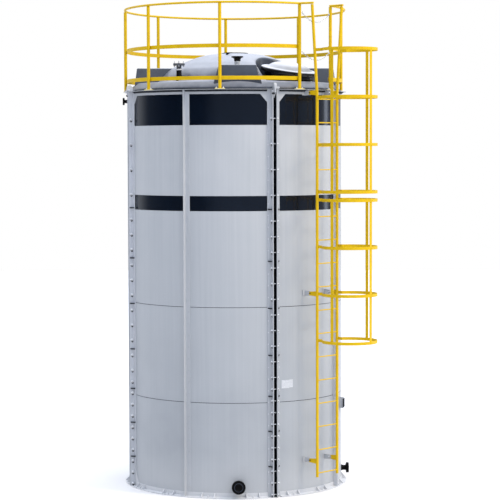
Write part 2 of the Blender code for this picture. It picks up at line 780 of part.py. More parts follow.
def gate_chains():
    frame = upright(LADDER_AZ, 0.0, 0.0)
    post = frame.inverted() @ polar(POST_R, POST_AZ[0], 0.0)
    end = post.y - POST_RADIUS - GAP
    reach = end - 0.010
    for number, (high, low) in enumerate(CHAIN_Z):
        path = [frame @ Vector((post.x, -end, high))]
        for i in range(13):
            t = -1.0 + 2.0 * i / 12.0
            path.append(frame @ Vector((post.x, reach * t, low + (high - low) * t * t)))
        path.append(frame @ Vector((post.x, end, high)))
        finish("gate_chain_" + str(number + 1), tube(bmesh.new(), path, CHAIN_RADIUS, 8), "plain_steel", 40.0)


def build():
    clear_scene()
    for index in range(4):
        jacket_quarter(index)
    tank()
    nozzles()
    name_plate()
    guardrail()
    ladder()
    cage("cage_lower", LOWER_HOOPS)
    cage("cage_upper", UPPER_HOOPS)
    gate_chains()


build()
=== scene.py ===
import math

import bmesh
import bpy
from mathutils import Matrix, Vector


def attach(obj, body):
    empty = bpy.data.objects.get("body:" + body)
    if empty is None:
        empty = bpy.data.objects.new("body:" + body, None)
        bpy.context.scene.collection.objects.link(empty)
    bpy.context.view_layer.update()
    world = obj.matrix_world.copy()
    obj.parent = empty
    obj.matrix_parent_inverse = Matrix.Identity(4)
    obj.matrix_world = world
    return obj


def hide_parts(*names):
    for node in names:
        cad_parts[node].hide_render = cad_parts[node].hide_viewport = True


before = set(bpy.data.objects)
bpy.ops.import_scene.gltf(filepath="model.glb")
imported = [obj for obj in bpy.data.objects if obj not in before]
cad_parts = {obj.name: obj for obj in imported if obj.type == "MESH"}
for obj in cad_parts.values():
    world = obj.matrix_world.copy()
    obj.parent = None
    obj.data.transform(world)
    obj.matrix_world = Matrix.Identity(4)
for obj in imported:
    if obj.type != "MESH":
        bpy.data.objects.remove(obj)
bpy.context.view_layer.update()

# Sizes are in metres. Azimuths are in degrees round the tank, from its front towards the right.

# jacket: four quarters of plate, the last one ending at the first joint
JOINTS = (18.4, 108.1, 197.6, 287.1, 378.4)
QUARTERS = tuple(zip(JOINTS, JOINTS[1:]))
JACKET_R = 1.450
PLATE_T = 0.0045
PLATE_BACK = JACKET_R - PLATE_T
SEAT = 0.0003                  # room between pieces that touch
ON_JACKET = JACKET_R + SEAT    # back of what is fixed to the plates
FLANGE_R = 1.520
LOWER_TOP = 3.748
BAND_BOTTOM = 3.946
BAND_TOP = 4.865
COURSE_SEAMS = (1.245, 2.495)
SEAM_H = 0.008
SEAM_D = 0.004
SEAM_SLOPE = 0.001
SEAM_FILL_HALF = 0.0028

# top ring
RING_BOTTOM = 5.267
RING_TOP = 5.330
RING_T = 0.011
RING_EDGE = 0.005              # thickness of the flange where its edge shows
RING_FILLET = 0.006
CHAMFER_W = 0.090
CHAMFER_H = 0.105
SEAL_Z = (5.299, 5.3238)
UPRIGHTS_TOP = RING_TOP - RING_T - SEAT

# bolted joints
JOINT_HALF_GAP = 0.025
JOINT_FACE = JOINT_HALF_GAP - 0.002    # where the black strip of painted shade lies
JOINT_FLANGE_T = 0.009
JOINT_BACK = JOINT_HALF_GAP + JOINT_FLANGE_T
JOINT_LEG = 0.085
JOINT_LEG_MIDDLE = 0.055
LEG_T = 0.008
STIFFENER_Z = (0.406, 0.869, 1.329, 1.865, 2.480, 3.094, 3.769)
STIFFENER_HALF = 0.006
BOLT_LINE_R = 1.487
BOLT_ACROSS = 0.027
BOLT_Z = (
    [0.035 + 0.1541 * i for i in range(11)]
    + [1.781 + 0.2039 * i for i in range(10)]
    + [3.950, 4.284, 4.620, 4.949]
)
SHANK_RADIUS = 0.006
# outline of the painted shadow below a washer, outward and up from the bolt's centre
SHADOW_RUN = (
    (-0.002, -0.006), (0.010, -0.008), (0.013, -0.017), (0.005, -0.030), (-0.006, -0.035), (-0.017, -0.029),
    (-0.021, -0.014),
)
SCREW_AT = 0.074
SCREW_Z = [0.18 + 0.1527 * i for i in range(33)]
LUG_INNER = JACKET_R + 0.004
LUG_OUTER = 1.532
LUG_SPLIT = RING_TOP + 0.002   # the head is thicker than the foot, and begins here
LUG_TOP = 5.410
LUG_FOOT = (
    (LUG_INNER, 5.215), (LUG_INNER + 0.022, 5.215), (LUG_OUTER, 5.290), (LUG_OUTER, LUG_SPLIT),
    (LUG_INNER, LUG_SPLIT),
)
LUG_PIN = ((0.013, 0.020), (0.014, 0.022), (0.014, 0.060), (0.010, 0.064))
DARK_PIN = ((0.013, 0.006), (0.013, 0.036), (0.010, 0.040))

# base ring and its anchor chairs
BASE_H = 0.065
BASE_FLANGE_T = 0.012
BASE_FILLET = 0.006
CHAIRS_BY_LADDER = (29.0, 48.9, 69.3, 91.5)
CHAIR_RIB_SPACING = 0.17
CHAIR_RIB_HALF = 0.005
CHAIR_BOLT_R = 1.492
CORNER_RUN = 0.110
CORNER_RISE = 0.165

# upright angle up the middle of each quarter
STRIP_AZ = (63.2, 151.6, 241.1, 331.8)
STRIP_W = 0.065
STRIP_T = 0.006
STRIP_REACH = 1.515
RIVET_INSET = 0.022
RIVET_Z = [0.14 + 0.1527 * i for i in range(33)]

# moulded tank and its roof; outlines are pairs of radius and height
TANK_R = PLATE_BACK - SEAT
WALL_T = 0.015
SHELL_TOP = 5.3007
ROOF_OUTLINE = (
    (TANK_R, 5.301), (TANK_R, 5.336), (1.440, 5.357), (1.355, 5.436), (1.345, 5.440),
    (1.100, 5.452), (1.085, 5.462), (1.057, 5.477), (1.012, 5.540), (0.920, 5.622),
    (0.868, 5.650), (0.800, 5.683), (0.740, 5.712), (0.675, 5.738), (0.610, 5.765),
    (0.480, 5.812), (0.340, 5.840), (0.170, 5.852),
)
ROOM_OUTLINE = (
    (TANK_R - WALL_T, 5.20), (TANK_R - WALL_T, 5.33), (1.34, 5.42), (1.08, 5.44), (0.99, 5.52), (0.60, 5.75),
    (0.30, 5.825),
)
HUB_R = 0.170
HUB_FOOT = 5.852
HUB_TOP = 5.862
# a small black tab on the dome in front of the hub: a painted shadow
TAB_Y = -0.430
TAB_OUTLINE = (
    (-0.132, 5.852), (-0.130, 5.816), (-0.112, 5.816), (-0.090, 5.832), (-0.046, 5.845), (-0.046, 5.852),
)
BOSS_AZ = (0.0, 90.0, 180.0, 270.0)
BOSS_FACE_R = 1.331
BOSS_FACE_SLOPE = 0.030
BOSS_INNER_R = 0.560
BOSS_TOP = 5.649
BOSS_HALF_TOP = 0.245
BOSS_HALF_FOOT = 0.316
BOSS_FOOT = 5.400
BOSS_ROUNDING = 0.016
HATCH_AZ = 45.0
HATCH_R = 1.000
POCKET_R = 0.442
POCKET_FLOOR = 5.456
POCKET_EDGE = 0.028
POCKET_SIDES = 128
ABOVE_ROOF = 6.0
NECK_R = 0.335
NECK_TOP = 5.608
NECK_TILT = 11.0
NECK_FOOT = POCKET_FLOOR - 0.060
LID_R = 0.384
LID_RIM = (
    (NECK_R - 0.004, 0.0004), (NECK_R + 0.010, -0.002), (NECK_R + 0.010, -0.045), (LID_R - 0.012, -0.045),
    (LID_R - 0.004, -0.042), (LID_R, -0.034), (LID_R, -0.004), (LID_R - 0.006, 0.006), (LID_R - 0.020, 0.012),
    (0.320, 0.014),
)
LID_DOME = ((0.308, 0.015), (0.288, 0.026), (0.230, 0.064), (0.165, 0.084), (0.090, 0.093), (0.006, 0.095))

# fittings
NOZZLE_AZ = -46.5
NOZZLE_R = 1.050
SPIGOT_TOP = 5.600
SPIGOT_OUTLINE = ((0.040, 5.440), (0.036, 5.500), (0.035, SPIGOT_TOP - 0.003), (0.032, SPIGOT_TOP))
STUB_FOOT = SPIGOT_TOP + SEAT
STUB_OUTLINE = (
    (0.0325, STUB_FOOT + 0.016), (0.0325, 5.658), (0.036, 5.662), (0.0765, 5.664), (0.0775, 5.666),
    (0.0775, 5.676), (0.0760, 5.677), (0.0760, 5.679), (0.0775, 5.680), (0.0775, 5.689), (0.0765, 5.691),
)
COLLAR_OUTLINE = (
    (0.036, STUB_FOOT), (0.041, STUB_FOOT + 0.003), (0.042, STUB_FOOT + 0.006), (0.042, STUB_FOOT + 0.015),
    (0.040, STUB_FOOT + 0.017),
)
STUD_CIRCLE = 0.060
STUD_OUTLINE = ((0.006, 5.646), (0.006, 5.722), (0.0045, 5.724))
STUD_NUT_Z = (5.650, 5.6915)
VENT_R = 1.19
VENT_FOOT = BOSS_TOP + SEAT
VENT_OUTLINE = (
    (0.036, VENT_FOOT + 0.002), (0.036, 5.698), (0.0425, 5.702), (0.0430, 5.722), (0.048, 5.733),
    (0.060, 5.741), (0.0765, 5.746), (0.0777, 5.748), (0.0777, 5.760), (0.0760, 5.762), (0.048, 5.7615),
    (0.046, 5.758),
)
SLEEVE_OUTLINE = (
    (0.0375, VENT_FOOT), (0.046, VENT_FOOT), (0.045, VENT_FOOT + 0.004), (0.038, VENT_FOOT + 0.007),
    (0.038, 5.697), (0.0365, 5.698),
)
OUTLET_X = -0.009
OUTLET_Z = 0.156
OUTLET_OUTLINE = (
    (0.060, 1.4496), (0.060, 1.522), (0.064, 1.525), (0.089, 1.526), (0.090, 1.528), (0.090, 1.545),
    (0.0885, 1.5465), (0.0885, 1.5485), (0.090, 1.550), (0.090, 1.563), (0.087, 1.566), (0.069, 1.566),
    (0.067, 1.563), (0.063, 1.563), (0.061, 1.5655), (0.040, 1.5655), (0.036, 1.562),
)
OUTLET_RING = (0.055, 1.5655)
DRAIN_Z = 0.147
DRAIN_OUTLINE = (
    (0.050, 1.4496), (0.042, 1.462), (0.036, 1.480), (0.036, 1.512), (0.042, 1.519), (0.0715, 1.524),
    (0.0725, 1.526), (0.0725, 1.542), (0.0712, 1.5435), (0.0712, 1.5465), (0.0725, 1.548), (0.0725, 1.558),
    (0.0705, 1.560),
)
OVERFLOW_Z = 5.206
OVERFLOW_OUTLINE = (
    (0.034, 1.4447), (0.030, 1.462), (0.026, 1.470), (0.022, 1.496), (0.024, 1.504), (0.0490, 1.508),
    (0.0500, 1.510), (0.0500, 1.530), (0.048, 1.532), (0.030, 1.5325), (0.028, 1.530), (0.004, 1.530),
)
NAME_PLATE_AZ = 76.0
NAME_PLATE_Z = 1.098
NAME_PLATE_R = JACKET_R + 0.054
NAME_PLATE_T = 0.005
NAME_PLATE_HALF = (0.065, 0.060)
NAME_PLATE_SCREWS = (0.052, 0.048)
CHANNEL_HALF = (0.052, 0.068)
CHANNEL_T = 0.004
# azimuths and heights of two blank sheets
LABELS = ((22.8, 27.4, 1.422, 1.530), (27.3, 29.5, 1.430, 1.534))

# guardrail
POST_R = 1.494
POST_RADIUS = 0.0214
POST_AZ = (56.4, 99.0, 141.0, 183.4, 225.0, 267.0, 309.0, 351.0, 392.8)
POST_FOOT = RING_TOP + SEAT
POST_PLATE_HALF = (0.026, 0.065)
POST_PLATE_T = 0.008
POST_BOLT_AT = 0.045
POST_WELD = 0.0035
RAIL_OVERHANG = 0.5
TOP_RAIL_Z = 6.438
TOP_RAIL_RADIUS = 0.0145
BAR_T = 0.006
BAR_HALF = 0.025
TOP_RAIL_RISE = 0.008          # the rails stand a little higher at the front than at the back
MID_BAR_RISE = 0.007
MID_BAR_Z = 5.883
LOW_BAR_Z = 5.475

# ladder and its cage
LADDER_AZ = 45.0
LADDER_R = 1.661
STRINGER_HALF = 0.200
STRINGER_HALF_TOP = 0.296
STRINGER_RADIUS = 0.019
LADDER_BOTTOM = 0.245
FLARE_Z = 5.270
RUNG_Z = 0.296
RUNG_PITCH = 0.3066
RUNG_COUNT = 17
RUNG_RADIUS = 0.0075
BRACKET_Z = (0.456, 2.662, 5.288)
RUNG_WELD = 0.0025
# each arm and its lug, from where the jacket is and from the middle of the arm
ARM_Z = (0.020, 0.024, 0.037)  # half heights at the bolt, beside it and at the stringer
ARM_END = (0.086, 0.092)
ARM_HALF = 0.005
ARM_DROP = 0.003
LUG_NECK = 0.085
LUG_ROUND = (0.095, 0.030)     # centre and radius of the lug's round end
LUG_SIDES = (0.0052, 0.0112)   # its two faces, beside the arm
CAGE_CENTRE = 0.384
CAGE_RADIUS = 0.3595
HOOP_HALF = 0.020
HOOP_T = 0.006
HOOP_STEPS = 56
LOWER_HOOPS = (2.049, 2.661, 3.276, 3.890)
UPPER_HOOPS = (3.997, 4.609, 5.224, 5.838)
STRAP_HALF = 0.0225
STRAP_ANGLES = (-90.0, 0.0, 90.0)

# gate chains of oval links: heights at the posts and in the middle
CHAIN_Z = ((6.332, 6.216), (5.825, 5.719))
CHAIN_STEPS = 240
LINK_PITCH = 0.024
LINK_HALF_LENGTH = 0.0145
LINK_HALF_WIDTH = 0.0075
LINK_WIRE = 0.0024
EYE_RADIUS = 0.010
EYE_WIRE = 0.003

# heads of small fixings: radius and height above the face
RIVET_HEAD = ((0.009, 0.0), (0.0085, 0.003), (0.005, 0.0055), (0.001, 0.006))
SCREW_HEAD = ((0.0085, 0.0), (0.0080, 0.003), (0.0045, 0.0055), (0.001, 0.006))
CAGE_RIVET_HEAD = ((0.009, -0.001), (0.0085, 0.002), (0.005, 0.004), (0.001, 0.0045))
PLATE_SCREW_HEAD = ((0.006, 0.0), (0.0055, 0.002), (0.003, 0.0032), (0.0008, 0.0034))

# hexagon bolts, as shares of the width across the flats
WASHER_SHARE = 0.74
WASHER_T = 0.003
HEAD_SHARE = 0.52
THREAD_SHARE = 0.32
CROWN_SHARE = 0.86             # the corners are turned down above this share of the head
SMALL_BOLT = 0.019
CHAIR_BOLT = 0.022
LADDER_NUT = 0.016
THREAD_END = 0.006

# walls of the studio: bearing from the front, and tone
WALL_TONES = (
    (-178.0, "#E0E5EE"), (-150.0, "#E4E9F2"), (-124.0, "#DCE2EC"), (-110.0, "#727C8C"), (-80.0, "#343D4A"),
    (-36.0, "#2E3743"), (-20.0, "#8F9CB2"), (40.0, "#A3AFC6"), (62.0, "#90949A"), (80.0, "#A8B0BE"),
    (120.0, "#B4BBC8"), (160.0, "#C8CED8"), (178.0, "#E0E5EE"),
)
LIGHTS_AIM = Vector((0.0, 0.0, 3.2))
FLOOR_R = 45.0

# camera: azimuth, distance and height, then the way it looks, in degrees
LENS = 135.31
SENSOR = 36.0
EYE_AZ = -1.591
EYE_R = 25.791
EYE_Z = 4.553
HEADING = 2.038
PITCH = 3.073
ROLL = -0.149

X = Vector((1.0, 0.0, 0.0))
Y = Vector((0.0, 1.0, 0.0))
Z = Vector((0.0, 0.0, 1.0))
ON_EDGE = Matrix.Rotation(math.radians(90.0), 4, "X")


# shaping tools


def polar(r, az, z=0.0):
    # the point at a radius, an azimuth and a height
    a = math.radians(az)
    return Vector((r * math.sin(a), -r * math.cos(a), z))


def tangent_az(distance):
    # the azimuth that a sideways distance takes up on the jacket
    return math.degrees(math.asin(distance / JACKET_R))


def axes(x, y, z, origin):
    # a frame with these axes and this origin
    at = Matrix.Identity(4)
    for i, part in enumerate((x, y, z, origin)):
        at.col[i][:3] = part
    return at


def upright(az, r=0.0, z=0.0):
    # x outward, y along the ring, z up
    out = polar(1.0, az)
    return axes(out, (-out.y, out.x, 0.0), Z, out * r + Z * z)


def outward(az, z, r=0.0):
    # x along the ring, y up, z outward
    out = polar(1.0, az)
    return axes((-out.y, out.x, 0.0), Z, out, out * r + Z * z)


def looking(point, direction):
    # a frame at the point whose z runs along the direction
    z = direction.normalized()
    x = z.orthogonal().normalized()
    return axes(x, z.cross(x), z, point)


def stations(start, end, step=1.25):
    # even steps from start to end, none longer than the step
    count = max(1, math.ceil((end - start) / step - 1e-6))
    return [start + (end - start) * i / count for i in range(count + 1)]


def box(x, y):
    # the four corners of a rectangle
    return ((x[0], y[0]), (x[1], y[0]), (x[1], y[1]), (x[0], y[1]))


def oval(at, centre, first, second, count):
    # a path once round an oval, given by its centre and its two half-axes
    turns = [math.tau * i / count for i in range(count + 1)]
    return [at @ (centre + first * math.cos(a) + second * math.sin(a)) for a in turns]


def loft(bm, sections, closed=False):
    # faces from each section to the next, and over both ends of an open run
    rings = [[bm.verts.new(p) for p in section] for section in sections]
    followers = rings[1:] + rings[:1] if closed else rings[1:]
    count = len(rings[0])
    for low, high in zip(rings, followers):
        for i in range(count):
            j = (i + 1) % count
            bm.faces.new((low[i], low[j], high[j], high[i]))
    if not closed:
        bm.faces.new(rings[0][::-1])
        bm.faces.new(rings[-1])
    return bm


def sector(bm, start, end, profile):
    # a profile of radii and heights, swept round the tank between two azimuths
    return loft(bm, [[polar(r, az, z) for r, z in profile] for az in stations(start, end)])


def turned(bm, outline, at=Matrix.Identity(4), sides=48, start=0.0):
    # a round solid, turned about the frame's z
    bearings = [start + i * 360.0 / sides for i in range(sides)]
    return loft(bm, [[at @ polar(r, az, z) for az in bearings] for r, z in outline])


def prism(bm, outline, at, low, high):
    # a flat outline in the frame's x and y, thickened along its z
    return loft(bm, [[at @ Vector((x, y, z)) for x, y in outline] for z in (low, high)])


def block(bm, at, x, y, z):
    return prism(bm, box(x, y), at, *z)


def bends(path):
    # each point of a path with the directions of the runs before and after it
    runs = [(b - a).normalized() for a, b in zip(path, path[1:])]
    return zip(path, runs[:1] + runs, runs + runs[-1:])


def bar(bm, path, radius, sides=20):
    # a round bar or tube along a path, mitred at each bend
    sections = []
    up = None
    for point, before, run in bends(path):
        along = (before + run).normalized()
        up = up or run.orthogonal().normalized()
        side = run.cross(up).normalized()
        up = side.cross(run).normalized()
        ring = []
        for k in range(sides):
            a = math.tau * k / sides
            spoke = math.cos(a) * up + math.sin(a) * side
            ring.append(point + radius * (spoke - spoke.dot(along) / run.dot(along) * run))
        sections.append(ring)
    return loft(bm, sections)


def flat_bar(bm, path, thickness, at, low, high):
    # a flat bar on edge along a flat path
    sections = []
    for point, before, after in bends(path):
        normal = Vector((-(before.y + after.y), before.x + after.x)).normalized()
        mitre = max(0.3, normal.dot(Vector((-before.y, before.x))))
        a = point + normal * (thickness / 2.0 / mitre)
        b = point - normal * (thickness / 2.0 / mitre)
        corners = ((a, low), (b, low), (b, high), (a, high))
        sections.append([at @ Vector((p.x, p.y, z)) for p, z in corners])
    return loft(bm, sections)


def hex_bolt(bm, at, across, washer=True, length=0.0):
    # head, washer and threaded end; the frame's z leaves the clamped face
    base = 0.0
    if washer:
        r = across * WASHER_SHARE
        edge = ((r - 0.0005, 0.0), (r, 0.0006), (r, WASHER_T - 0.0004), (r - 0.0010, WASHER_T))
        turned(bm, edge, at, 20)
        base = WASHER_T
    corner = across / 2.0 / math.cos(math.radians(30.0))
    height = across * HEAD_SHARE
    shoulder = base + height * CROWN_SHARE
    turned(bm, ((corner, base), (corner, shoulder), (corner * CROWN_SHARE, base + height)), at, 6)
    if length > 0.0:
        r = across * THREAD_SHARE
        end = base + height + length
        turned(bm, ((r, base + height * 0.9), (r, end), (r * 0.8, end + r * 0.3)), at, 12)


# finishes


def linear(code):
    # sRGB hex to linear light
    parts = [int(code[i:i + 2], 16) / 255.0 for i in (1, 3, 5)]
    return tuple([c / 12.92 if c <= 0.04045 else ((c + 0.055) / 1.055) ** 2.4 for c in parts] + [1.0])


def wire(tree, kind, settings=None, links=None, stops=()):
    # one node with its settings, the sockets that feed it and, on a ramp, its colour stops
    node = tree.nodes.new(kind)
    for key, value in (settings or {}).items():
        if isinstance(key, str) and hasattr(node, key):
            setattr(node, key, value)
        else:
            node.inputs[key].default_value = value
    for key, source in (links or {}).items():
        tree.links.new(source, node.inputs[key])
    if stops:
        marks = node.color_ramp.elements
        for mark, (position, colour) in zip(marks, (stops[0], stops[-1])):
            mark.position = position
            mark.color = linear(colour)
        for position, colour in stops[1:-1]:
            marks.new(position).color = linear(colour)
    return node


def start_finish(name, colour, roughness, ior=1.5, specular=0.5, metallic=0.0):
    # an even finish; what varies over the surface is linked to its shader afterwards
    finish = bpy.data.materials.new(name)
    finish.use_nodes = True
    finish.diffuse_color = linear(colour)
    tree = finish.node_tree
    shader = tree.nodes["Principled BSDF"]
    shader.inputs["Base Color"].default_value = linear(colour)
    shader.inputs["Roughness"].default_value = roughness
    shader.inputs["IOR"].default_value = ior
    shader.inputs["Specular IOR Level"].default_value = specular
    shader.inputs["Metallic"].default_value = metallic
    place = wire(tree, "ShaderNodeTexCoord").outputs["Object"]
    return finish, tree, shader, place


def sprayed_steel(name, fresh, dull, painted_shade, roughness, low_shade=1.1):
    # Mild steel sheet, sprayed with grey enamel: an even satin face, slightly wavy from rolling,
    # with faint rain streaks, darker further down with painted shade, and paler over the lowest 600 mm
    # with painted light that lifts the shade near the floor.
    finish, tree, shader, place = start_finish(name, fresh, roughness)
    broad = wire(tree, "ShaderNodeTexNoise", {"Scale": 1.4, "Detail": 3.0, "Roughness": 0.55},
                 {"Vector": place})
    # rain streaks are about 30 mm apart and metres long
    stretch = wire(tree, "ShaderNodeMapping", {"Scale": (30.0, 30.0, 0.5)}, {"Vector": place})
    streak = wire(tree, "ShaderNodeTexNoise", {"Scale": 1.0, "Detail": 4.0, "Roughness": 0.6},
                  {"Vector": stretch.outputs[0]})
    cloud = wire(tree, "ShaderNodeMath", {"operation": "MULTIPLY", 1: 0.55}, {0: broad.outputs["Fac"]})
    both = wire(tree, "ShaderNodeMath", {"operation": "MULTIPLY_ADD", 1: 0.45},
                {0: streak.outputs["Fac"], 2: cloud.outputs[0]})
    paint = wire(tree, "ShaderNodeValToRGB", links={"Fac": both.outputs[0]},
                 stops=((0.36, dull), (0.62, fresh)))
    height = wire(tree, "ShaderNodeSeparateXYZ", links={"Vector": place}).outputs["Z"]
    # the painted shade is strongest below 1.1 m and gone at 4.6 m
    low = wire(tree, "ShaderNodeMapRange",
               {"From Min": 1.1, "From Max": 4.6, "To Min": 0.76 * low_shade, "To Max": 0.0}, {"Value": height})
    share = wire(tree, "ShaderNodeMath", {"operation": "MULTIPLY"},
                 {0: low.outputs[0], 1: broad.outputs["Fac"]})
    painted_shaded = wire(tree, "ShaderNodeMix", {"data_type": "RGBA", 7: linear(painted_shade)},
                  {"Factor": share.outputs[0], 6: paint.outputs["Color"]})
    # paler over the lowest 600 mm: painted light that lifts the shade near the floor
    floor_light = wire(tree, "ShaderNodeMapRange", {"From Min": 0.0, "From Max": 0.6, "To Min": 0.22, "To Max": 0.0},
                {"Value": height})
    floor_lit = wire(tree, "ShaderNodeMix", {"data_type": "RGBA", 7: linear("#D8D8D7")},
                 {"Factor": floor_light.outputs[0], 6: painted_shaded.outputs[2]})
    tree.links.new(floor_lit.outputs[2], shader.inputs["Base Color"])
    sheen = wire(tree, "ShaderNodeMapRange", {"To Min": roughness - 0.06, "To Max": roughness + 0.10},
                 {"Value": streak.outputs["Fac"]})
    tree.links.new(sheen.outputs[0], shader.inputs["Roughness"])
    # orange peel of 2 to 3 mm, drawn at 6 mm so that it shows, over waves of 250 mm from the rolls
    peel = wire(tree, "ShaderNodeTexNoise", {"Scale": 170.0, "Detail": 1.0}, {"Vector": place})
    fine = wire(tree, "ShaderNodeBump", {"Strength": 0.12, "Distance": 0.0006},
                {"Height": peel.outputs["Fac"]})
    wave = wire(tree, "ShaderNodeTexNoise", {"Scale": 4.0, "Detail": 1.0}, {"Vector": place})
    rolled = wire(tree, "ShaderNodeBump", {"Strength": 0.25, "Distance": 0.006},
                  {"Height": wave.outputs["Fac"], "Normal": fine.outputs["Normal"]})
    tree.links.new(rolled.outputs["Normal"], shader.inputs["Normal"])
    return finish


def moulded_polyethylene(name, colour, mottle, painted_reflection, roughness):
    # Black polyethylene, rotationally moulded: deep gloss with a soft ripple from the mould. A pale painted
    # reflection of the sky lies in patches where the surface looks up, and is absent where it stands upright.
    finish, tree, shader, place = start_finish(name, colour, roughness, ior=1.51, specular=0.35)
    cloud = wire(tree, "ShaderNodeTexNoise", {"Scale": 3.0, "Detail": 5.0, "Roughness": 0.6},
                 {"Vector": place})
    base = wire(tree, "ShaderNodeValToRGB", links={"Fac": cloud.outputs["Fac"]},
                stops=((0.45, colour), (0.80, mottle)))
    facing = wire(tree, "ShaderNodeNewGeometry").outputs["Normal"]
    looks_up = wire(tree, "ShaderNodeSeparateXYZ", links={"Vector": facing}).outputs["Z"]
    # patches of the painted reflection are about 150 mm across
    patch = wire(tree, "ShaderNodeTexNoise", {"Scale": 7.0, "Detail": 6.0, "Roughness": 0.65},
                 {"Vector": place})
    edge = wire(tree, "ShaderNodeMath", {"operation": "MULTIPLY_ADD", 1: 0.24},
                {0: patch.outputs["Fac"], 2: looks_up})
    cover = wire(tree, "ShaderNodeMapRange",
                 {"From Min": 0.70, "From Max": 1.08, "To Min": 0.0, "To Max": 0.92},
                 {"Value": edge.outputs[0]})
    with_painted_reflection = wire(tree, "ShaderNodeMix", {"data_type": "RGBA", 7: linear(painted_reflection)},
                   {"Factor": cover.outputs[0], 6: base.outputs["Color"]})
    tree.links.new(with_painted_reflection.outputs[2], shader.inputs["Base Color"])
    gloss = wire(tree, "ShaderNodeMapRange", {"To Min": roughness, "To Max": 0.62},
                 {"Value": cover.outputs[0]})
    tree.links.new(gloss.outputs[0], shader.inputs["Roughness"])
    # the mould's ripple is about 60 mm long, and its grain 2 mm, drawn at 5 mm
    ripple = wire(tree, "ShaderNodeTexNoise", {"Scale": 16.0, "Detail": 2.0}, {"Vector": place})
    soft = wire(tree, "ShaderNodeBump", {"Strength": 0.12, "Distance": 0.002},
                {"Height": ripple.outputs["Fac"]})
    grain = wire(tree, "ShaderNodeTexNoise", {"Scale": 200.0, "Detail": 1.0}, {"Vector": place})
    fine = wire(tree, "ShaderNodeBump", {"Strength": 0.08, "Distance": 0.0004},
                {"Height": grain.outputs["Fac"], "Normal": soft.outputs["Normal"]})
    tree.links.new(fine.outputs["Normal"], shader.inputs["Normal"])
    return finish


def powder_coated_steel(name, colour, worn, roughness):
    # Steel, powder-coated: strong even colour, satin, a little different where hands and boots rub.
    finish, tree, shader, place = start_finish(name, colour, roughness, specular=0.2)
    # rubbed patches are about 110 mm across
    patch = wire(tree, "ShaderNodeTexNoise", {"Scale": 9.0, "Detail": 4.0, "Roughness": 0.6},
                 {"Vector": place})
    coat = wire(tree, "ShaderNodeValToRGB", links={"Fac": patch.outputs["Fac"]},
                stops=((0.35, worn), (0.60, colour)))
    tree.links.new(coat.outputs["Color"], shader.inputs["Base Color"])
    # powder grain is about 1 mm, drawn at 4 mm
    grain = wire(tree, "ShaderNodeTexNoise", {"Scale": 250.0, "Detail": 1.0}, {"Vector": place})
    fine = wire(tree, "ShaderNodeBump", {"Strength": 0.10, "Distance": 0.0005},
                {"Height": grain.outputs["Fac"]})
    tree.links.new(fine.outputs["Normal"], shader.inputs["Normal"])
    return finish


def galvanised_steel(name, bright, dull, painted_shade, roughness):
    # Steel, hot-dip galvanised: pale metal with 10 mm spangles, weathered and so only half metallic to the
    # eye, pale on top and darkened underneath with painted shade.
    finish, tree, shader, place = start_finish(name, bright, roughness, metallic=0.35)
    spangle = wire(tree, "ShaderNodeTexVoronoi", {"Scale": 100.0}, {"Vector": place})
    spangled = wire(tree, "ShaderNodeValToRGB", links={"Fac": spangle.outputs["Color"]},
                 stops=((0.2, dull), (0.9, bright)))
    facing = wire(tree, "ShaderNodeNewGeometry").outputs["Normal"]
    looks_up = wire(tree, "ShaderNodeSeparateXYZ", links={"Vector": facing}).outputs["Z"]
    # faces that look down are darkened: painted shade
    under = wire(tree, "ShaderNodeMapRange",
                 {"From Min": -0.55, "From Max": 0.08, "To Min": 0.97, "To Max": 0.0}, {"Value": looks_up})
    painted_shaded = wire(tree, "ShaderNodeMix", {"data_type": "RGBA", 7: linear(painted_shade)},
                  {"Factor": under.outputs[0], 6: spangled.outputs["Color"]})
    tree.links.new(painted_shaded.outputs[2], shader.inputs["Base Color"])
    return finish


def moulded_pvc(name, colour, worn, roughness):
    # PVC, injection moulded and turned: satin, nearly even, with faint scuffs.
    finish, tree, shader, place = start_finish(name, colour, roughness, ior=1.53, specular=0.07)
    # scuffs are about 45 mm long
    scuff = wire(tree, "ShaderNodeTexNoise", {"Scale": 22.0, "Detail": 6.0, "Roughness": 0.7},
                 {"Vector": place})
    face = wire(tree, "ShaderNodeValToRGB", links={"Fac": scuff.outputs["Fac"]},
                stops=((0.50, colour), (0.85, worn)))
    tree.links.new(face.outputs["Color"], shader.inputs["Base Color"])
    fine = wire(tree, "ShaderNodeBump", {"Strength": 0.10, "Distance": 0.0006},
                {"Height": scuff.outputs["Fac"]})
    tree.links.new(fine.outputs["Normal"], shader.inputs["Normal"])
    return finish


def dull_skin(name, colour, dry, roughness, specular=0.3):
    # What is gunned, glued or pasted onto the steel, and painted shadow: no gloss, and lumps of about 17 mm
    # that catch the light.
    finish, tree, shader, place = start_finish(name, colour, roughness, specular=specular)
    lump = wire(tree, "ShaderNodeTexNoise", {"Scale": 60.0, "Detail": 3.0}, {"Vector": place})
    face = wire(tree, "ShaderNodeValToRGB", links={"Fac": lump.outputs["Fac"]},
                stops=((0.40, colour), (0.70, dry)))
    tree.links.new(face.outputs["Color"], shader.inputs["Base Color"])
    fine = wire(tree, "ShaderNodeBump", {"Strength": 0.3, "Distance": 0.001}, {"Height": lump.outputs["Fac"]})
    tree.links.new(fine.outputs["Normal"], shader.inputs["Normal"])
    return finish


# Enamel over the plates, darkest towards the bottom with painted shade; over the angles, with less; a paler
# copy with painted light over those that catch more sky; and the palest copy, with painted light, over the
# feet.
GREY_SHEET = sprayed_steel("sprayed_steel_sheet", "#B2B5B8", "#A8ACB0", "#82888F", 0.40)
GREY_FRAME = sprayed_steel("sprayed_steel_frame", "#B2B5B9", "#A8ACB1", "#9A9DA1", 0.38, 0.9)
GREY_PAINTED_LIGHT = sprayed_steel("sprayed_steel_painted_light", "#C2C5CA", "#B8BBC1", "#A8ACB1", 0.38, 0.7)
GREY_PAINTED_STRONG_LIGHT = sprayed_steel("sprayed_steel_painted_strong_light", "#C8C9CC", "#BFC1C4", "#B6B8BA", 0.36, 0.3)
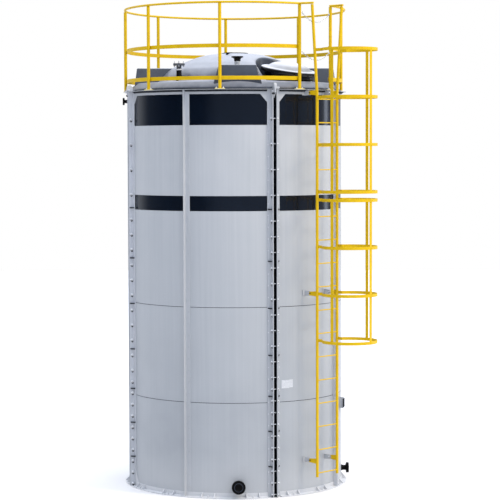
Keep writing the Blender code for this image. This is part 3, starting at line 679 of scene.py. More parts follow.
# The wall is sheltered behind the plates and stays glossy; the roof is grey, and roof and lid carry a pale
# painted reflection of the sky where they look up.
BLACK_WALL = moulded_polyethylene("moulded_polyethylene_wall", "#060D18", "#08111D", "#0B1420", 0.13)
BLACK_ROOF = moulded_polyethylene("moulded_polyethylene_roof", "#3A404B", "#444B57", "#A2A6AF", 0.24)
BLACK_LID = moulded_polyethylene("moulded_polyethylene_lid", "#06070A", "#0B0D11", "#C6C9CF", 0.20)
BLACK_FITTING = moulded_pvc("moulded_pvc_fitting", "#020203", "#08080A", 0.30)
GREY_FITTING = moulded_pvc("moulded_pvc_flange", "#575B62", "#70747B", 0.38)
PAINTED_HIGHLIGHT_FITTING = moulded_pvc("moulded_pvc_painted_highlight", "#3A404A", "#4A515C", 0.35)
# Foamed rubber, cut from sheet: near black, without shine; the same black is painted shade in the joint gaps,
# over the flange's inner lip and on the dome's small tab.
BLACK_RUBBER_AND_SHADE = dull_skin("foamed_rubber_and_painted_shade", "#0C0F14", "#151A21", 0.85, 0.1)
# Painted shadow below the joint bolts, and painted shade on the dark pin under the top flange: near black.
PAINTED_SHADOW = dull_skin("painted_shadow", "#15171A", "#23262A", 0.9)
# Polyurethane sealant, run from a gun: dark grey; the nearly black copy, under the top flange, is sealant and
# painted shade.
DARK_SEALANT = dull_skin("gunned_sealant", "#3A3D42", "#4A4D52", 0.75)
SEALANT_AND_SHADE = dull_skin("sealant_and_painted_shade", "#202327", "#2C2F34", 0.8, 0.15)
# Blank paper, pasted on: pale, slightly cockled.
PALE_PAPER = dull_skin("pasted_paper", "#BFC2C6", "#CCCFD2", 0.7)
YELLOW = powder_coated_steel("powder_coated_yellow", "#D0AC03", "#CAA404", 0.48)
PALE_YELLOW = powder_coated_steel("powder_coated_pale_yellow", "#E6D98F", "#DCCB7A", 0.46)
# dark steel: sawn gusset edges widened into painted shadow, and the ladder nuts, dark as painted shade
DARK_STEEL_AND_SHADE = powder_coated_steel("powder_coated_dark_and_painted_shade", "#2A2C30", "#35373C", 0.42)
WHITE_STEEL = powder_coated_steel("powder_coated_white", "#E4E5E6", "#DADBDD", 0.40)
ZINC = galvanised_steel("galvanised_steel", "#F2F3F4", "#D2D4D7", "#16181B", 0.34)


# pieces


def new_piece(name, bm, finish=None):
    # a shape with its faces turned outward, not yet handed to the frame
    bmesh.ops.recalc_face_normals(bm, faces=bm.faces)
    mesh = bpy.data.meshes.new(name)
    bm.to_mesh(mesh)
    bm.free()
    piece = bpy.data.objects.new(name, mesh)
    bpy.context.scene.collection.objects.link(piece)
    if finish:
        mesh.materials.append(finish)
    return piece


def settle(piece, replaced, smooth=32.0):
    # smooths what is round, hangs the piece on the root and hides the parts it replaces
    piece.data.shade_smooth()
    piece.data.set_sharp_from_angle(angle=math.radians(smooth))
    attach(piece, "root")
    if replaced:
        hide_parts(*replaced)


def make(name, bm, finish, replaced=(), smooth=32.0, edge=0.0):
    bmesh.ops.remove_doubles(bm, verts=bm.verts, dist=0.00001)
    piece = new_piece(name, bm, finish)
    if edge > 0.0:
        soft = piece.modifiers.new("broken_edge", "BEVEL")
        soft.width = edge
        soft.segments = 2
        soft.limit_method = "ANGLE"
        soft.angle_limit = math.radians(50.0)
        soft.harden_normals = True
    settle(piece, replaced, smooth)


def combine(piece, bm, operation):
    # joins a shape to the piece, or cuts it out
    other = new_piece("shape", bm)
    step = piece.modifiers.new("shape", "BOOLEAN")
    step.operation = operation
    step.solver = "EXACT"
    step.object = other
    bpy.context.view_layer.update()
    shaped = bpy.data.meshes.new_from_object(piece.evaluated_get(bpy.context.evaluated_depsgraph_get()))
    piece.modifiers.remove(step)
    spent = (piece.data, other.data)
    piece.data = shaped
    bpy.data.objects.remove(other, do_unlink=True)
    for mesh in spent:
        bpy.data.meshes.remove(mesh)


def jacket_plates():
    margin = tangent_az(JOINT_HALF_GAP)
    for k, (left, right) in enumerate(QUARTERS):
        start = left + margin
        end = right - margin
        tag = "_" + str(k + 1)
        profile = [(PLATE_BACK, 0.0), (JACKET_R, 0.0)]
        for z in COURSE_SEAMS:
            low = z - SEAM_H / 2.0
            high = z + SEAM_H / 2.0
            profile += [(JACKET_R, low), (JACKET_R - SEAM_D, low + SEAM_SLOPE)]
            profile += [(JACKET_R - SEAM_D, high - SEAM_SLOPE), (JACKET_R, high)]
        profile += [(JACKET_R, LOWER_TOP), (PLATE_BACK, LOWER_TOP)]
        make("lower_sheet" + tag, sector(bmesh.new(), start, end, profile), GREY_SHEET, ["lower_plate" + tag])
        profile = box((PLATE_BACK, JACKET_R), (BAND_BOTTOM, BAND_TOP))
        make("band_sheet" + tag, sector(bmesh.new(), start, end, profile), GREY_SHEET, ["band_plate" + tag])
        top_ring(tag, start, end, left, right)


def flange_and_seam_beads():
    # beads under the top flange and over its inner lip, and in the seams between the plate courses
    under = bmesh.new()
    lip = bmesh.new()
    lines = bmesh.new()
    low, high = SEAL_Z
    for left, right in QUARTERS:
        reach = tangent_az(JOINT_LEG + 0.004)
        # the bead under the flange is sealant and painted shade: it darkens the band just below the flange
        sector(under, left + reach, right - reach, (
            (JACKET_R - 0.0005, low), (JACKET_R + 0.010, low + 0.002), (JACKET_R + 0.032, high - 0.004),
            (JACKET_R + 0.034, high), (JACKET_R - 0.0005, high),
        ))
        # the black bead over the inner lip is painted shade between the flange and the roof
        sector(lip, left + reach, right - reach, (
            (TANK_R + 0.0004, RING_TOP + 0.0004), (TANK_R + 0.020, RING_TOP + 0.0004),
            (TANK_R + 0.016, RING_TOP + 0.011), (TANK_R + 0.0004, RING_TOP + 0.016),
        ))
        reach = tangent_az(JOINT_LEG)
        for z in COURSE_SEAMS:
            profile = box((JACKET_R - 0.0042, JACKET_R - 0.0020), (z - SEAM_FILL_HALF, z + SEAM_FILL_HALF))
            sector(lines, left + reach, right - reach, profile)
    make("top_sealant_and_shade", under, SEALANT_AND_SHADE)
    make("lip_shade", lip, BLACK_RUBBER_AND_SHADE)
    make("seam_sealant", lines, DARK_SEALANT)


def top_ring(tag, start, end, left, right):
    # an upright plate with a flange, deeper at the joints, where its lower edge slants down
    leg = tangent_az(JOINT_LEG)
    foot = tangent_az(JOINT_LEG + CHAMFER_W)
    flange = RING_TOP - RING_EDGE
    sections = []
    for az in sorted(stations(start, end) + [left + leg, left + foot, right - leg, right - foot]):
        near = min(max(min(az - left, right - az), leg), foot)
        low = RING_BOTTOM - CHAMFER_H * (foot - near) / (foot - leg)
        profile = (
            (PLATE_BACK, low), (JACKET_R, low), (JACKET_R, flange - RING_FILLET),
            (JACKET_R + RING_FILLET, flange), (FLANGE_R - 0.003, flange), (FLANGE_R, flange + 0.003),
            (FLANGE_R, RING_TOP - 0.002), (FLANGE_R - 0.002, RING_TOP), (PLATE_BACK, RING_TOP),
        )
        sections.append([polar(r, az, z) for r, z in profile])
    make("top_flange" + tag, loft(bmesh.new(), sections), GREY_FRAME, ["top_ring" + tag], edge=0.0015)


def base_rings():
    margin = tangent_az(JOINT_LEG + SEAT)
    leg_face = ON_JACKET + LEG_T
    ring = (
        (ON_JACKET, 0.0), (FLANGE_R, 0.0), (FLANGE_R, BASE_FLANGE_T), (leg_face + BASE_FILLET, BASE_FLANGE_T),
        (leg_face, BASE_FLANGE_T + BASE_FILLET), (leg_face, BASE_H), (ON_JACKET, BASE_H),
    )
    rib = (
        (leg_face - 0.004, BASE_FLANGE_T - 0.001), (FLANGE_R - 0.004, BASE_FLANGE_T - 0.001),
        (FLANGE_R - 0.004, BASE_FLANGE_T + 0.004), (leg_face + 0.010, BASE_H - 0.001),
        (leg_face - 0.004, BASE_H - 0.001),
    )
    bolts = bmesh.new()
    for k, (left, right) in enumerate(QUARTERS):
        bm = sector(bmesh.new(), left + margin, right - margin, ring)
        pitch = (right - left) / 4.0
        for az in [left + pitch * (i + 0.5) for i in range(4)] if k else CHAIRS_BY_LADDER:
            for middle in (CHAIR_RIB_SPACING / 2.0, -CHAIR_RIB_SPACING / 2.0):
                prism(bm, rib, upright(az) @ ON_EDGE, middle - CHAIR_RIB_HALF, middle + CHAIR_RIB_HALF)
            hex_bolt(bolts, upright(az, CHAIR_BOLT_R, BASE_FLANGE_T), CHAIR_BOLT, True, 0.010)
        if k:
            base_corner(bm, left + margin)
        make("base_angle_" + str(k + 1), bm, GREY_PAINTED_STRONG_LIGHT, ["base_ring_" + str(k + 1)], edge=0.0012)
    make("anchor_bolts", bolts, GREY_PAINTED_STRONG_LIGHT)


def base_corner(bm, start):
    # the upright leg rises in a curve at its left end, but not in the quarter under the ladder
    sections = []
    for i in range(9):
        t = i / 8.0
        high = BASE_H - 0.002 + CORNER_RISE * (1.0 - t) ** 2.2
        profile = box((ON_JACKET, ON_JACKET + LEG_T), (BASE_H - 0.006, high))
        sections.append([polar(r, start + tangent_az(CORNER_RUN) * t, z) for r, z in profile])
    loft(bm, sections)


def middle_strips():
    # an upright angle up the middle of each quarter, riveted through its flat leg
    outer = ON_JACKET + STRIP_T
    root = ON_JACKET + LEG_T + SEAT
    rivets = bmesh.new()
    for k, heel in enumerate(STRIP_AZ):
        toe = heel + tangent_az(STRIP_W)
        edge = heel + tangent_az(STRIP_T)
        fillet = edge + tangent_az(0.006)
        inside = [polar(ON_JACKET, a) for a in stations(heel, toe)]
        outside = [polar(STRIP_REACH, heel), polar(STRIP_REACH, edge), polar(outer + 0.006, edge)]
        outside += [polar(outer + 0.0018, edge + tangent_az(0.0018)), polar(outer, fillet)]
        outside += [polar(outer, a) for a in stations(fillet, toe)[1:]]
        outline = [(p.x, p.y) for p in inside + outside[::-1]]
        bm = prism(bmesh.new(), outline, Matrix.Identity(4), BASE_H + SEAT, UPRIGHTS_TOP)
        sector(bm, heel, edge, box((root, STRIP_REACH), (BASE_FLANGE_T + SEAT, BASE_H + 0.0005)))
        tag = "_" + str(k + 1)
        # the first angle takes the paler copy of the enamel: painted light
        paint = GREY_FRAME if k else GREY_PAINTED_LIGHT
        make("upright_angle" + tag, bm, paint, ["middle_strip" + tag], edge=0.0012)
        for z in RIVET_Z:
            turned(rivets, RIVET_HEAD, outward(toe - tangent_az(RIVET_INSET), z, outer), 12)
    make("angle_rivets", rivets, GREY_SHEET)


def joint_angles():
    # two angles face each other across the gap at each joint, and bolts hold them together
    outer = ON_JACKET + LEG_T
    gap_shade = bmesh.new()
    sawn_and_shadow = bmesh.new()
    painted_shade = bmesh.new()
    screws = bmesh.new()

    def at_radius(r, aside):
        # the point of a circle round the tank that lies this far beside the joint
        return (math.sqrt(r * r - aside * aside), aside)

    for k, az in enumerate(JOINTS[:4]):
        # the fourth joint shows side-on at the left: its flanges are a little shorter, and paler with painted
        # light
        last = k == 3
        tip = FLANGE_R - (0.004 if last else 0.0)
        at = upright(az)
        bolts = bmesh.new()
        for side, word in ((1.0, "right"), (-1.0, "left")):
            face = side * JOINT_FACE
            back = side * JOINT_BACK
            middle = side * JOINT_LEG_MIDDLE
            leg = side * JOINT_LEG
            heel_r = at_radius(outer, back)[0]
            outline = (
                at_radius(ON_JACKET, face), (tip, face), (tip, back), (heel_r + 0.005, back),
                at_radius(outer, back + side * 0.005), at_radius(outer, middle), at_radius(outer, leg),
                at_radius(ON_JACKET, leg), at_radius(ON_JACKET, middle),
            )
            bm = prism(bmesh.new(), outline, at, 0.0, UPRIGHTS_TOP)
            for z in STIFFENER_Z:
                stiffener(bm, sawn_and_shadow, at, side, heel_r - 0.003, z)
            for z in SCREW_Z:
                turned(screws, SCREW_HEAD, outward(az + side * tangent_az(SCREW_AT), z, outer), 12)
            # a black strip of painted shade on the face that looks into the gap
            lips = 1.500 if side > 0.0 else FLANGE_R - 0.003
            shade_strip = box((TANK_R + 0.004, lips), (side * (JOINT_FACE - 0.0002), side * (JOINT_FACE - 0.003)))
            if side > 0.0 or not last:
                prism(gap_shade, shade_strip, at, 0.003, UPRIGHTS_TOP - 0.003)
            if side < 0.0:
                lifting_lug(bm, painted_shade, az)
            tag = "_" + word + "_" + str(k + 1)
            paint = GREY_PAINTED_LIGHT if last else GREY_FRAME
            make("bolting_angle" + tag, bm, paint, ["joint_angle" + tag], edge=0.0012)
        for z in BOLT_Z:
            joint_bolt(bolts, painted_shade, az, z)
        make("joint_bolts_" + str(k + 1), bolts, ZINC)
    make("gap_painted_shade", gap_shade, BLACK_RUBBER_AND_SHADE)
    make("leg_screws", screws, GREY_PAINTED_STRONG_LIGHT)
    make("bolt_and_lug_shadows", painted_shade, PAINTED_SHADOW)
    make("sawn_edges_and_shadows", sawn_and_shadow, DARK_STEEL_AND_SHADE)


def stiffener(bm, sawn_and_shadow, at, side, foot, z):
    # a small gusset between flange and leg, whose slanting edge is dark: a sawn edge, widened into a painted
    # shadow
    outline = (
        (foot, side * (JOINT_BACK - 0.003)), (FLANGE_R - 0.006, side * (JOINT_BACK - 0.003)),
        (FLANGE_R - 0.006, side * (JOINT_BACK + 0.006)), (foot, side * (JOINT_LEG - 0.004)),
    )
    prism(bm, outline, at, z - STIFFENER_HALF, z + STIFFENER_HALF)
    a = Vector((FLANGE_R - 0.007, side * (JOINT_BACK + 0.0065)))
    b = Vector((foot + 0.004, side * (JOINT_LEG - 0.005)))
    lift = side * Vector((a.y - b.y, b.x - a.x)).normalized() * -0.0012
    edge = (a - lift, b - lift, b + lift, a + lift)
    prism(sawn_and_shadow, edge, at, z - STIFFENER_HALF - 0.002, z + STIFFENER_HALF + 0.004)


def joint_bolt(bm, painted_shade, az, z):
    # a bolt through both angles, with a painted shadow below each washer
    centre = upright(az, BOLT_LINE_R, z)
    along = centre.col[1].to_3d()
    middle = centre.col[3].to_3d()
    shank = JOINT_BACK - JOINT_FLANGE_T
    turned(bm, ((SHANK_RADIUS, -shank), (SHANK_RADIUS, shank)), looking(middle, along), 14)
    hex_bolt(bm, looking(middle + along * JOINT_BACK, along), BOLT_ACROSS, True, THREAD_END)
    for way in (-1.0, 1.0):
        face = centre @ Matrix.Translation((0.0, way * JOINT_BACK, 0.0))
        low = [face @ Vector((x, -way * 0.0004, y)) for x, y in SHADOW_RUN]
        high = [face @ Vector((x * 0.9, way * 0.0007, y)) for x, y in SHADOW_RUN]
        loft(painted_shade, [low, high])
    hex_bolt(bm, looking(middle - along * JOINT_BACK, -along), BOLT_ACROSS)


def lifting_lug(bm, painted_shade, az):
    # a thick plate welded to the left angle, with a round head above the flange
    middle = (LUG_INNER + LUG_OUTER) / 2.0
    reach = (LUG_OUTER - LUG_INNER) / 2.0
    stand = upright(az) @ ON_EDGE
    prism(bm, LUG_FOOT, stand, -0.009, 0.009)
    head = [(LUG_INNER, LUG_SPLIT), (LUG_OUTER, LUG_SPLIT)]
    for i in range(17):
        a = math.pi * i / 16.0
        head.append((middle + reach * math.cos(a), LUG_TOP - reach * (1.0 - math.sin(a))))
    prism(bm, head, stand, -0.022, 0.012)
    block(bm, upright(az), (JACKET_R + 0.008, FLANGE_R - 0.006), (-0.027, -0.007), (5.240, 5.314))
    # a pin stands out to the right, just above the flange, and a dark one to the left, under it, in painted
    # shade
    pin = upright(az, 1.510, RING_TOP + 0.017)
    across = looking(pin.col[3].to_3d(), pin.col[1].to_3d())
    turned(bm, LUG_PIN, across, 20)
    pin = upright(az, 1.518, 5.272)
    across = looking(pin.col[3].to_3d(), -pin.col[1].to_3d())
    turned(painted_shade, DARK_PIN, across, 16)


def tank_wall():
    inner = TANK_R - WALL_T
    outline = [(inner, WALL_T), (inner, SHELL_TOP)]
    outline += [(TANK_R, z) for z in (SHELL_TOP, 4.4, 3.85, 2.0, 0.004)] + [(TANK_R - 0.004, 0.0)]
    bm = turned(bmesh.new(), outline, sides=256, start=JOINTS[0])
    make("moulded_wall", bm, BLACK_WALL, ["tank_shell"])


def boss_block(az):
    # a roof block with the radii that a moulding needs
    bm = bmesh.new()
    at = upright(az)
    toe = BOSS_FACE_R + BOSS_FACE_SLOPE
    foot = box((BOSS_INNER_R, toe), (-BOSS_HALF_FOOT, BOSS_HALF_FOOT))
    crown = box((BOSS_INNER_R, BOSS_FACE_R), (-BOSS_HALF_TOP, BOSS_HALF_TOP))
    faces = ((foot, BOSS_FOOT), (crown, BOSS_TOP))
    loft(bm, [[at @ Vector((x, y, z)) for x, y in outline] for outline, z in faces])
    out = polar(1.0, az)
    rounded = []
    for e in bm.edges:
        middle = (e.verts[0].co + e.verts[1].co) / 2.0
        if middle.z > BOSS_FOOT + 0.01 and middle.dot(out) > BOSS_INNER_R + 0.05:
            rounded.append(e)
    bmesh.ops.bevel(bm, geom=rounded, offset=BOSS_ROUNDING, segments=4, profile=0.5, affect="EDGES")
    return bm


def softened(outline, rounds=2):
    # cuts the corners of a moulded section until it runs smoothly
    for _ in range(rounds):
        points = [outline[0]]
        for (r1, z1), (r2, z2) in zip(outline, outline[1:]):
            points.append((0.75 * r1 + 0.25 * r2, 0.75 * z1 + 0.25 * z2))
            points.append((0.25 * r1 + 0.75 * r2, 0.25 * z1 + 0.75 * z2))
        outline = points + [outline[-1]]
    return outline


def roof_height(point):
    # height of the dome, or of a block on it, above a point
    r = math.hypot(point.x, point.y)
    height = HUB_TOP
    for (r1, z1), (r2, z2) in zip(ROOF_OUTLINE, ROOF_OUTLINE[1:]):
        if r2 <= r <= r1:
            height = z1 + (z2 - z1) * (r1 - r) / max(r1 - r2, 1e-6)
    for az in BOSS_AZ:
        out = polar(1.0, az)
        along = point.dot(out)
        aside = abs(point.x * out.y - point.y * out.x)
        if BOSS_INNER_R < along < BOSS_FACE_R and aside < BOSS_HALF_FOOT:
            share = max(0.0, aside - BOSS_HALF_TOP) / (BOSS_HALF_FOOT - BOSS_HALF_TOP)
            height = max(height, BOSS_TOP - (BOSS_TOP - BOSS_FOOT) * share)
    return height


def pocket_shape():
    # what is taken out of the dome round the hatch: upright walls under a rounded lip
    at = upright(HATCH_AZ, HATCH_R)
    sections = []
    for i in range(POCKET_SIDES):
        out = (at.to_3x3() @ polar(1.0, 360.0 * i / POCKET_SIDES)).normalized()
        wall = at.col[3].to_3d() + out * POCKET_R
        lip = wall + out * POCKET_EDGE
        level = max(roof_height(wall), POCKET_FLOOR + 0.001)
        drop = min(POCKET_EDGE, 0.9 * (level - POCKET_FLOOR))
        end = max(roof_height(lip), POCKET_FLOOR + 0.0005)
        section = [wall + Z * POCKET_FLOOR, wall + Z * (level - drop)]
        for t in (0.25, 0.5, 0.75, 1.0):
            z = (level - drop) * (1 - t) ** 2 + 2.0 * level * t * (1 - t) + end * t * t
            section.append(wall + out * POCKET_EDGE * t * t + Z * z)
        section.append(lip + out * 0.002 + Z * (end + 0.012))
        section.append(lip + out * 0.002 + Z * ABOVE_ROOF)
        sections.append(section)
    return loft(bmesh.new(), list(zip(*sections)))


def neck_shape(at, r, low, high):
    # upright at the foot, cut on the slant of the hatch at the top
    foot = upright(HATCH_AZ, HATCH_R)
    angles = [360.0 * i / 96.0 for i in range(96)]
    ends = ((foot, low), (at, high))
    return loft(bmesh.new(), [[stand @ polar(r, a, z) for a in angles] for stand, z in ends])


def roof(hatch):
    outline = softened(list(ROOF_OUTLINE[:-1]) + [(HUB_R + 0.020, HUB_FOOT)])
    outline += [(HUB_R + 0.006, 5.853), (HUB_R + 0.002, 5.858), (HUB_R - 0.004, HUB_TOP)]
    piece = new_piece("moulded_roof", turned(bmesh.new(), outline, sides=192, start=JOINTS[0]), BLACK_ROOF)
    for az in BOSS_AZ:
        combine(piece, boss_block(az), "UNION")
    combine(piece, pocket_shape(), "DIFFERENCE")
    # the room under the dome leaves a wall round the pocket
    room = new_piece("roof_room", turned(bmesh.new(), ROOM_OUTLINE, sides=96, start=JOINTS[0]), BLACK_ROOF)
    reach = POCKET_R + POCKET_EDGE + WALL_T
    sunk = ((reach, POCKET_FLOOR - WALL_T), (reach, ABOVE_ROOF))
    combine(room, turned(bmesh.new(), sunk, upright(HATCH_AZ, HATCH_R), 64), "DIFFERENCE")
    room_shape = bmesh.new()
    room_shape.from_mesh(room.data)
    bpy.data.objects.remove(room, do_unlink=True)
    combine(piece, room_shape, "DIFFERENCE")
    combine(piece, neck_shape(hatch, NECK_R - WALL_T, NECK_FOOT, 0.1), "DIFFERENCE")
    settle(piece, ["tank_roof"], smooth=30.0)
    spigot = turned(bmesh.new(), SPIGOT_OUTLINE, upright(NOZZLE_AZ, NOZZLE_R), 40)
    settle(new_piece("roof_spigot", spigot, BLACK_LID), ["tank_roof"], smooth=30.0)
    # a rubber ring lies round the edge of the hub, and a small black tab, a painted shadow, stands on the
    # dome in front of it
    hub = bmesh.new()
    rim = (
        (HUB_R - 0.012, HUB_FOOT - 0.001), (HUB_R + 0.012, HUB_FOOT - 0.001),
        (HUB_R + 0.010, HUB_TOP - 0.002), (HUB_R + 0.002, HUB_TOP + 0.0015), (HUB_R - 0.012, HUB_TOP + 0.002),
    )
    loft(hub, [[polar(r, az, z) for r, z in rim] for az in stations(0.0, 360.0, 4.0)[:-1]], closed=True)
    prism(hub, TAB_OUTLINE, Matrix.Translation(Y * TAB_Y) @ ON_EDGE, -0.004, 0.004)
    make("hub_gasket", hub, BLACK_RUBBER_AND_SHADE)
    neck = new_piece("hatch_neck", neck_shape(hatch, NECK_R, POCKET_FLOOR + SEAT, 0.0), BLACK_LID)
    combine(neck, neck_shape(hatch, NECK_R - WALL_T, NECK_FOOT, 0.1), "DIFFERENCE")
    settle(neck, ["tank_roof"], smooth=30.0)


def hatch_lid(hatch):
    outline = list(LID_RIM) + softened(list(LID_DOME))
    make("hatch_cover", turned(bmesh.new(), outline, hatch, 128), BLACK_LID, ["manhole_lid"], smooth=40.0)


def nozzles():
    # flanged fittings of the roof and of the wall
    at = upright(NOZZLE_AZ, NOZZLE_R)
    make("roof_stub", turned(bmesh.new(), STUB_OUTLINE, at, 48), GREY_FITTING, ["roof_nozzle"])
    make("stub_collar", turned(bmesh.new(), COLLAR_OUTLINE, at, 40), WHITE_STEEL)
    studs = bmesh.new()
    for i in range(4):
        spot = Matrix.Translation(at @ polar(STUD_CIRCLE, 44.0 + 90.0 * i))
        turned(studs, STUD_OUTLINE, spot, 12)
        for z in STUD_NUT_Z:
            turned(studs, ((0.0115, z), (0.0115, z + 0.0115), (0.010, z + 0.0125)), spot, 6)
    at = upright(0.0, VENT_R)
    make("vent_stub", turned(bmesh.new(), VENT_OUTLINE, at, 48), BLACK_FITTING, ["roof_vent"])
    make("vent_sleeve", turned(bmesh.new(), SLEEVE_OUTLINE, at, 48), GREY_FRAME)
    at = outward(0.0, OUTLET_Z) @ Matrix.Translation((OUTLET_X, 0.0, 0.0))
    make("outlet_blank", turned(bmesh.new(), OUTLET_OUTLINE, at, 64), BLACK_FITTING, ["front_outlet"])
    # a paler ring on the outlet's face is a painted highlight
    r, z = OUTLET_RING
    ring = bar(bmesh.new(), oval(at, Z * z, X * r, Y * r, 48), 0.0035, 6)
    make("outlet_ring", ring, PAINTED_HIGHLIGHT_FITTING)
    at = outward(90.0, DRAIN_Z)
    make("drain_blank", turned(bmesh.new(), DRAIN_OUTLINE, at, 56), BLACK_FITTING, ["side_drain"])
    at = outward(-90.0, OVERFLOW_Z)
    make("overflow_stub", turned(bmesh.new(), OVERFLOW_OUTLINE, at, 48), BLACK_FITTING, ["overflow_nozzle"])
    make("stub_studs", studs, ZINC)


def name_plate():
    # a blank black plate on a grey channel that stands off the jacket
    at = outward(NAME_PLATE_AZ, NAME_PLATE_Z)
    channel = bmesh.new()
    w, h = CHANNEL_HALF
    for x in (-w, w - CHANNEL_T):
        block(channel, at, (x, x + CHANNEL_T), (-h, h), (JACKET_R - 0.0025, NAME_PLATE_R))
    block(channel, at, (-w, w), (-h, h), (NAME_PLATE_R - CHANNEL_T, NAME_PLATE_R))
    make("plate_channel", channel, GREY_FRAME, edge=0.0008)
    front = NAME_PLATE_R + NAME_PLATE_T
    w, h = NAME_PLATE_HALF
    bm = block(bmesh.new(), at, (-w, w), (-h, h), (NAME_PLATE_R, front))
    w, h = NAME_PLATE_SCREWS
    for x in (-w, w):
        for y in (-h, h):
            turned(bm, PLATE_SCREW_HEAD, at @ Matrix.Translation((x, y, front)), 12)
    make("blank_plate", bm, BLACK_RUBBER_AND_SHADE, ["plate_bracket"], edge=0.0008)
    # two blank sheets are pasted on the jacket beside the joint
    bm = bmesh.new()
    for start, end, low, high in LABELS:
        sector(bm, start, end, box((JACKET_R + 0.0002, JACKET_R + 0.0018), (low, high)))
    make("blank_label", bm, PALE_PAPER)


def rail_stations(step):
    # the bent rails are straight through each post, so a corner falls at every post
    angles = []
    for first, last in zip(POST_AZ, POST_AZ[1:]):
        angles += stations(first, last, step)[:-1]
    return angles + [POST_AZ[-1]]


def lifted(rise, az):
    # how far a rail stands above its middle height
    return rise * math.cos(math.radians(az))


def guardrail():
    bolts = bmesh.new()
    posts = bmesh.new()
    plates = bmesh.new()
    bead_r = POST_RADIUS + 0.002
    w, h = POST_PLATE_HALF
    for az in POST_AZ:
        at = upright(az, POST_R)
        block(plates, at, (-w, w), (-h, h), (POST_FOOT, POST_FOOT + POST_PLATE_T))
        high = TOP_RAIL_Z + lifted(TOP_RAIL_RISE, az) - TOP_RAIL_RADIUS - SEAT
        turned(posts, ((POST_RADIUS, POST_FOOT + 0.004), (POST_RADIUS, high)), at, 28)
        bar(posts, oval(at, Z * (POST_FOOT + 0.009), X * bead_r, Y * bead_r, 16), POST_WELD, 6)
        for y in (-POST_BOLT_AT, POST_BOLT_AT):
            spot = at @ Matrix.Translation((0.0, y, POST_FOOT + POST_PLATE_T))
            hex_bolt(bolts, spot, SMALL_BOLT, True, THREAD_END)
    make("guard_posts", posts, YELLOW, ["post_" + str(i + 1) for i in range(9)])
    make("post_plates", plates, PALE_YELLOW, edge=0.001)
    make("post_bolts", bolts, ZINC)
    outer = POST_R - POST_RADIUS - SEAT
    angles = rail_stations(1.5)
    angles = [angles[0] - RAIL_OVERHANG] + angles + [angles[-1] + RAIL_OVERHANG]
    for name, z, rise in (("middle_rail", MID_BAR_Z, MID_BAR_RISE), ("lower_rail", LOW_BAR_Z, 0.0)):
        profile = box((outer - BAR_T, outer), (z - BAR_HALF, z + BAR_HALF))
        sections = [[polar(r, az, h + lifted(rise, az)) for r, h in profile] for az in angles]
        make("flat_" + name, loft(bmesh.new(), sections), YELLOW, [name], edge=0.0012)
    # the hand rail ends over the ladder's two stringers
    at = upright(LADDER_AZ, LADDER_R)
    half = STRINGER_HALF_TOP
    ends = [at @ Vector((STRINGER_RADIUS, y, TOP_RAIL_Z + 0.003)) for y in (half, -half)]
    path = [polar(POST_R, az, TOP_RAIL_Z + lifted(TOP_RAIL_RISE, az)) for az in rail_stations(2.0)]
    path = ends[:1] + path + ends[1:]
    make("hand_rail", bar(bmesh.new(), path, TOP_RAIL_RADIUS, 20), YELLOW, ["top_rail"], smooth=40.0)


def stringer_half(z):
    # half the distance between the stringers, which spread above the top ring
    share = max(0.0, (z - FLARE_Z) / (TOP_RAIL_Z - FLARE_Z))
    return STRINGER_HALF + (STRINGER_HALF_TOP - STRINGER_HALF) * share


def ladder():
    at = upright(LADDER_AZ, LADDER_R)
    bm = bmesh.new()
    top = TOP_RAIL_Z - TOP_RAIL_RADIUS - 2.0 * SEAT
    for side in (-1.0, 1.0):
        path = (
            (STRINGER_HALF, LADDER_BOTTOM), (STRINGER_HALF, FLARE_Z - 0.02),
            (STRINGER_HALF + 0.0004, FLARE_Z), (STRINGER_HALF_TOP, top),
        )
        bar(bm, [at @ Vector((0.0, side * y, z)) for y, z in path], STRINGER_RADIUS, 24)
    bead_r = RUNG_RADIUS + 0.001
    for i in range(RUNG_COUNT):
        z = RUNG_Z + RUNG_PITCH * i
        half = stringer_half(z)
        bar(bm, [at @ Vector((0.0, -half, z)), at @ Vector((0.0, half, z))], RUNG_RADIUS, 16)
        for side in (-1.0, 1.0):
            weld = Vector((0.0, side * (half - STRINGER_RADIUS), z))
            bar(bm, oval(at, weld, X * bead_r, Z * bead_r, 12), RUNG_WELD, 6)
    make("ladder_frame", bm, YELLOW, ["ladder"], smooth=40.0)
    ladder_arms(at)


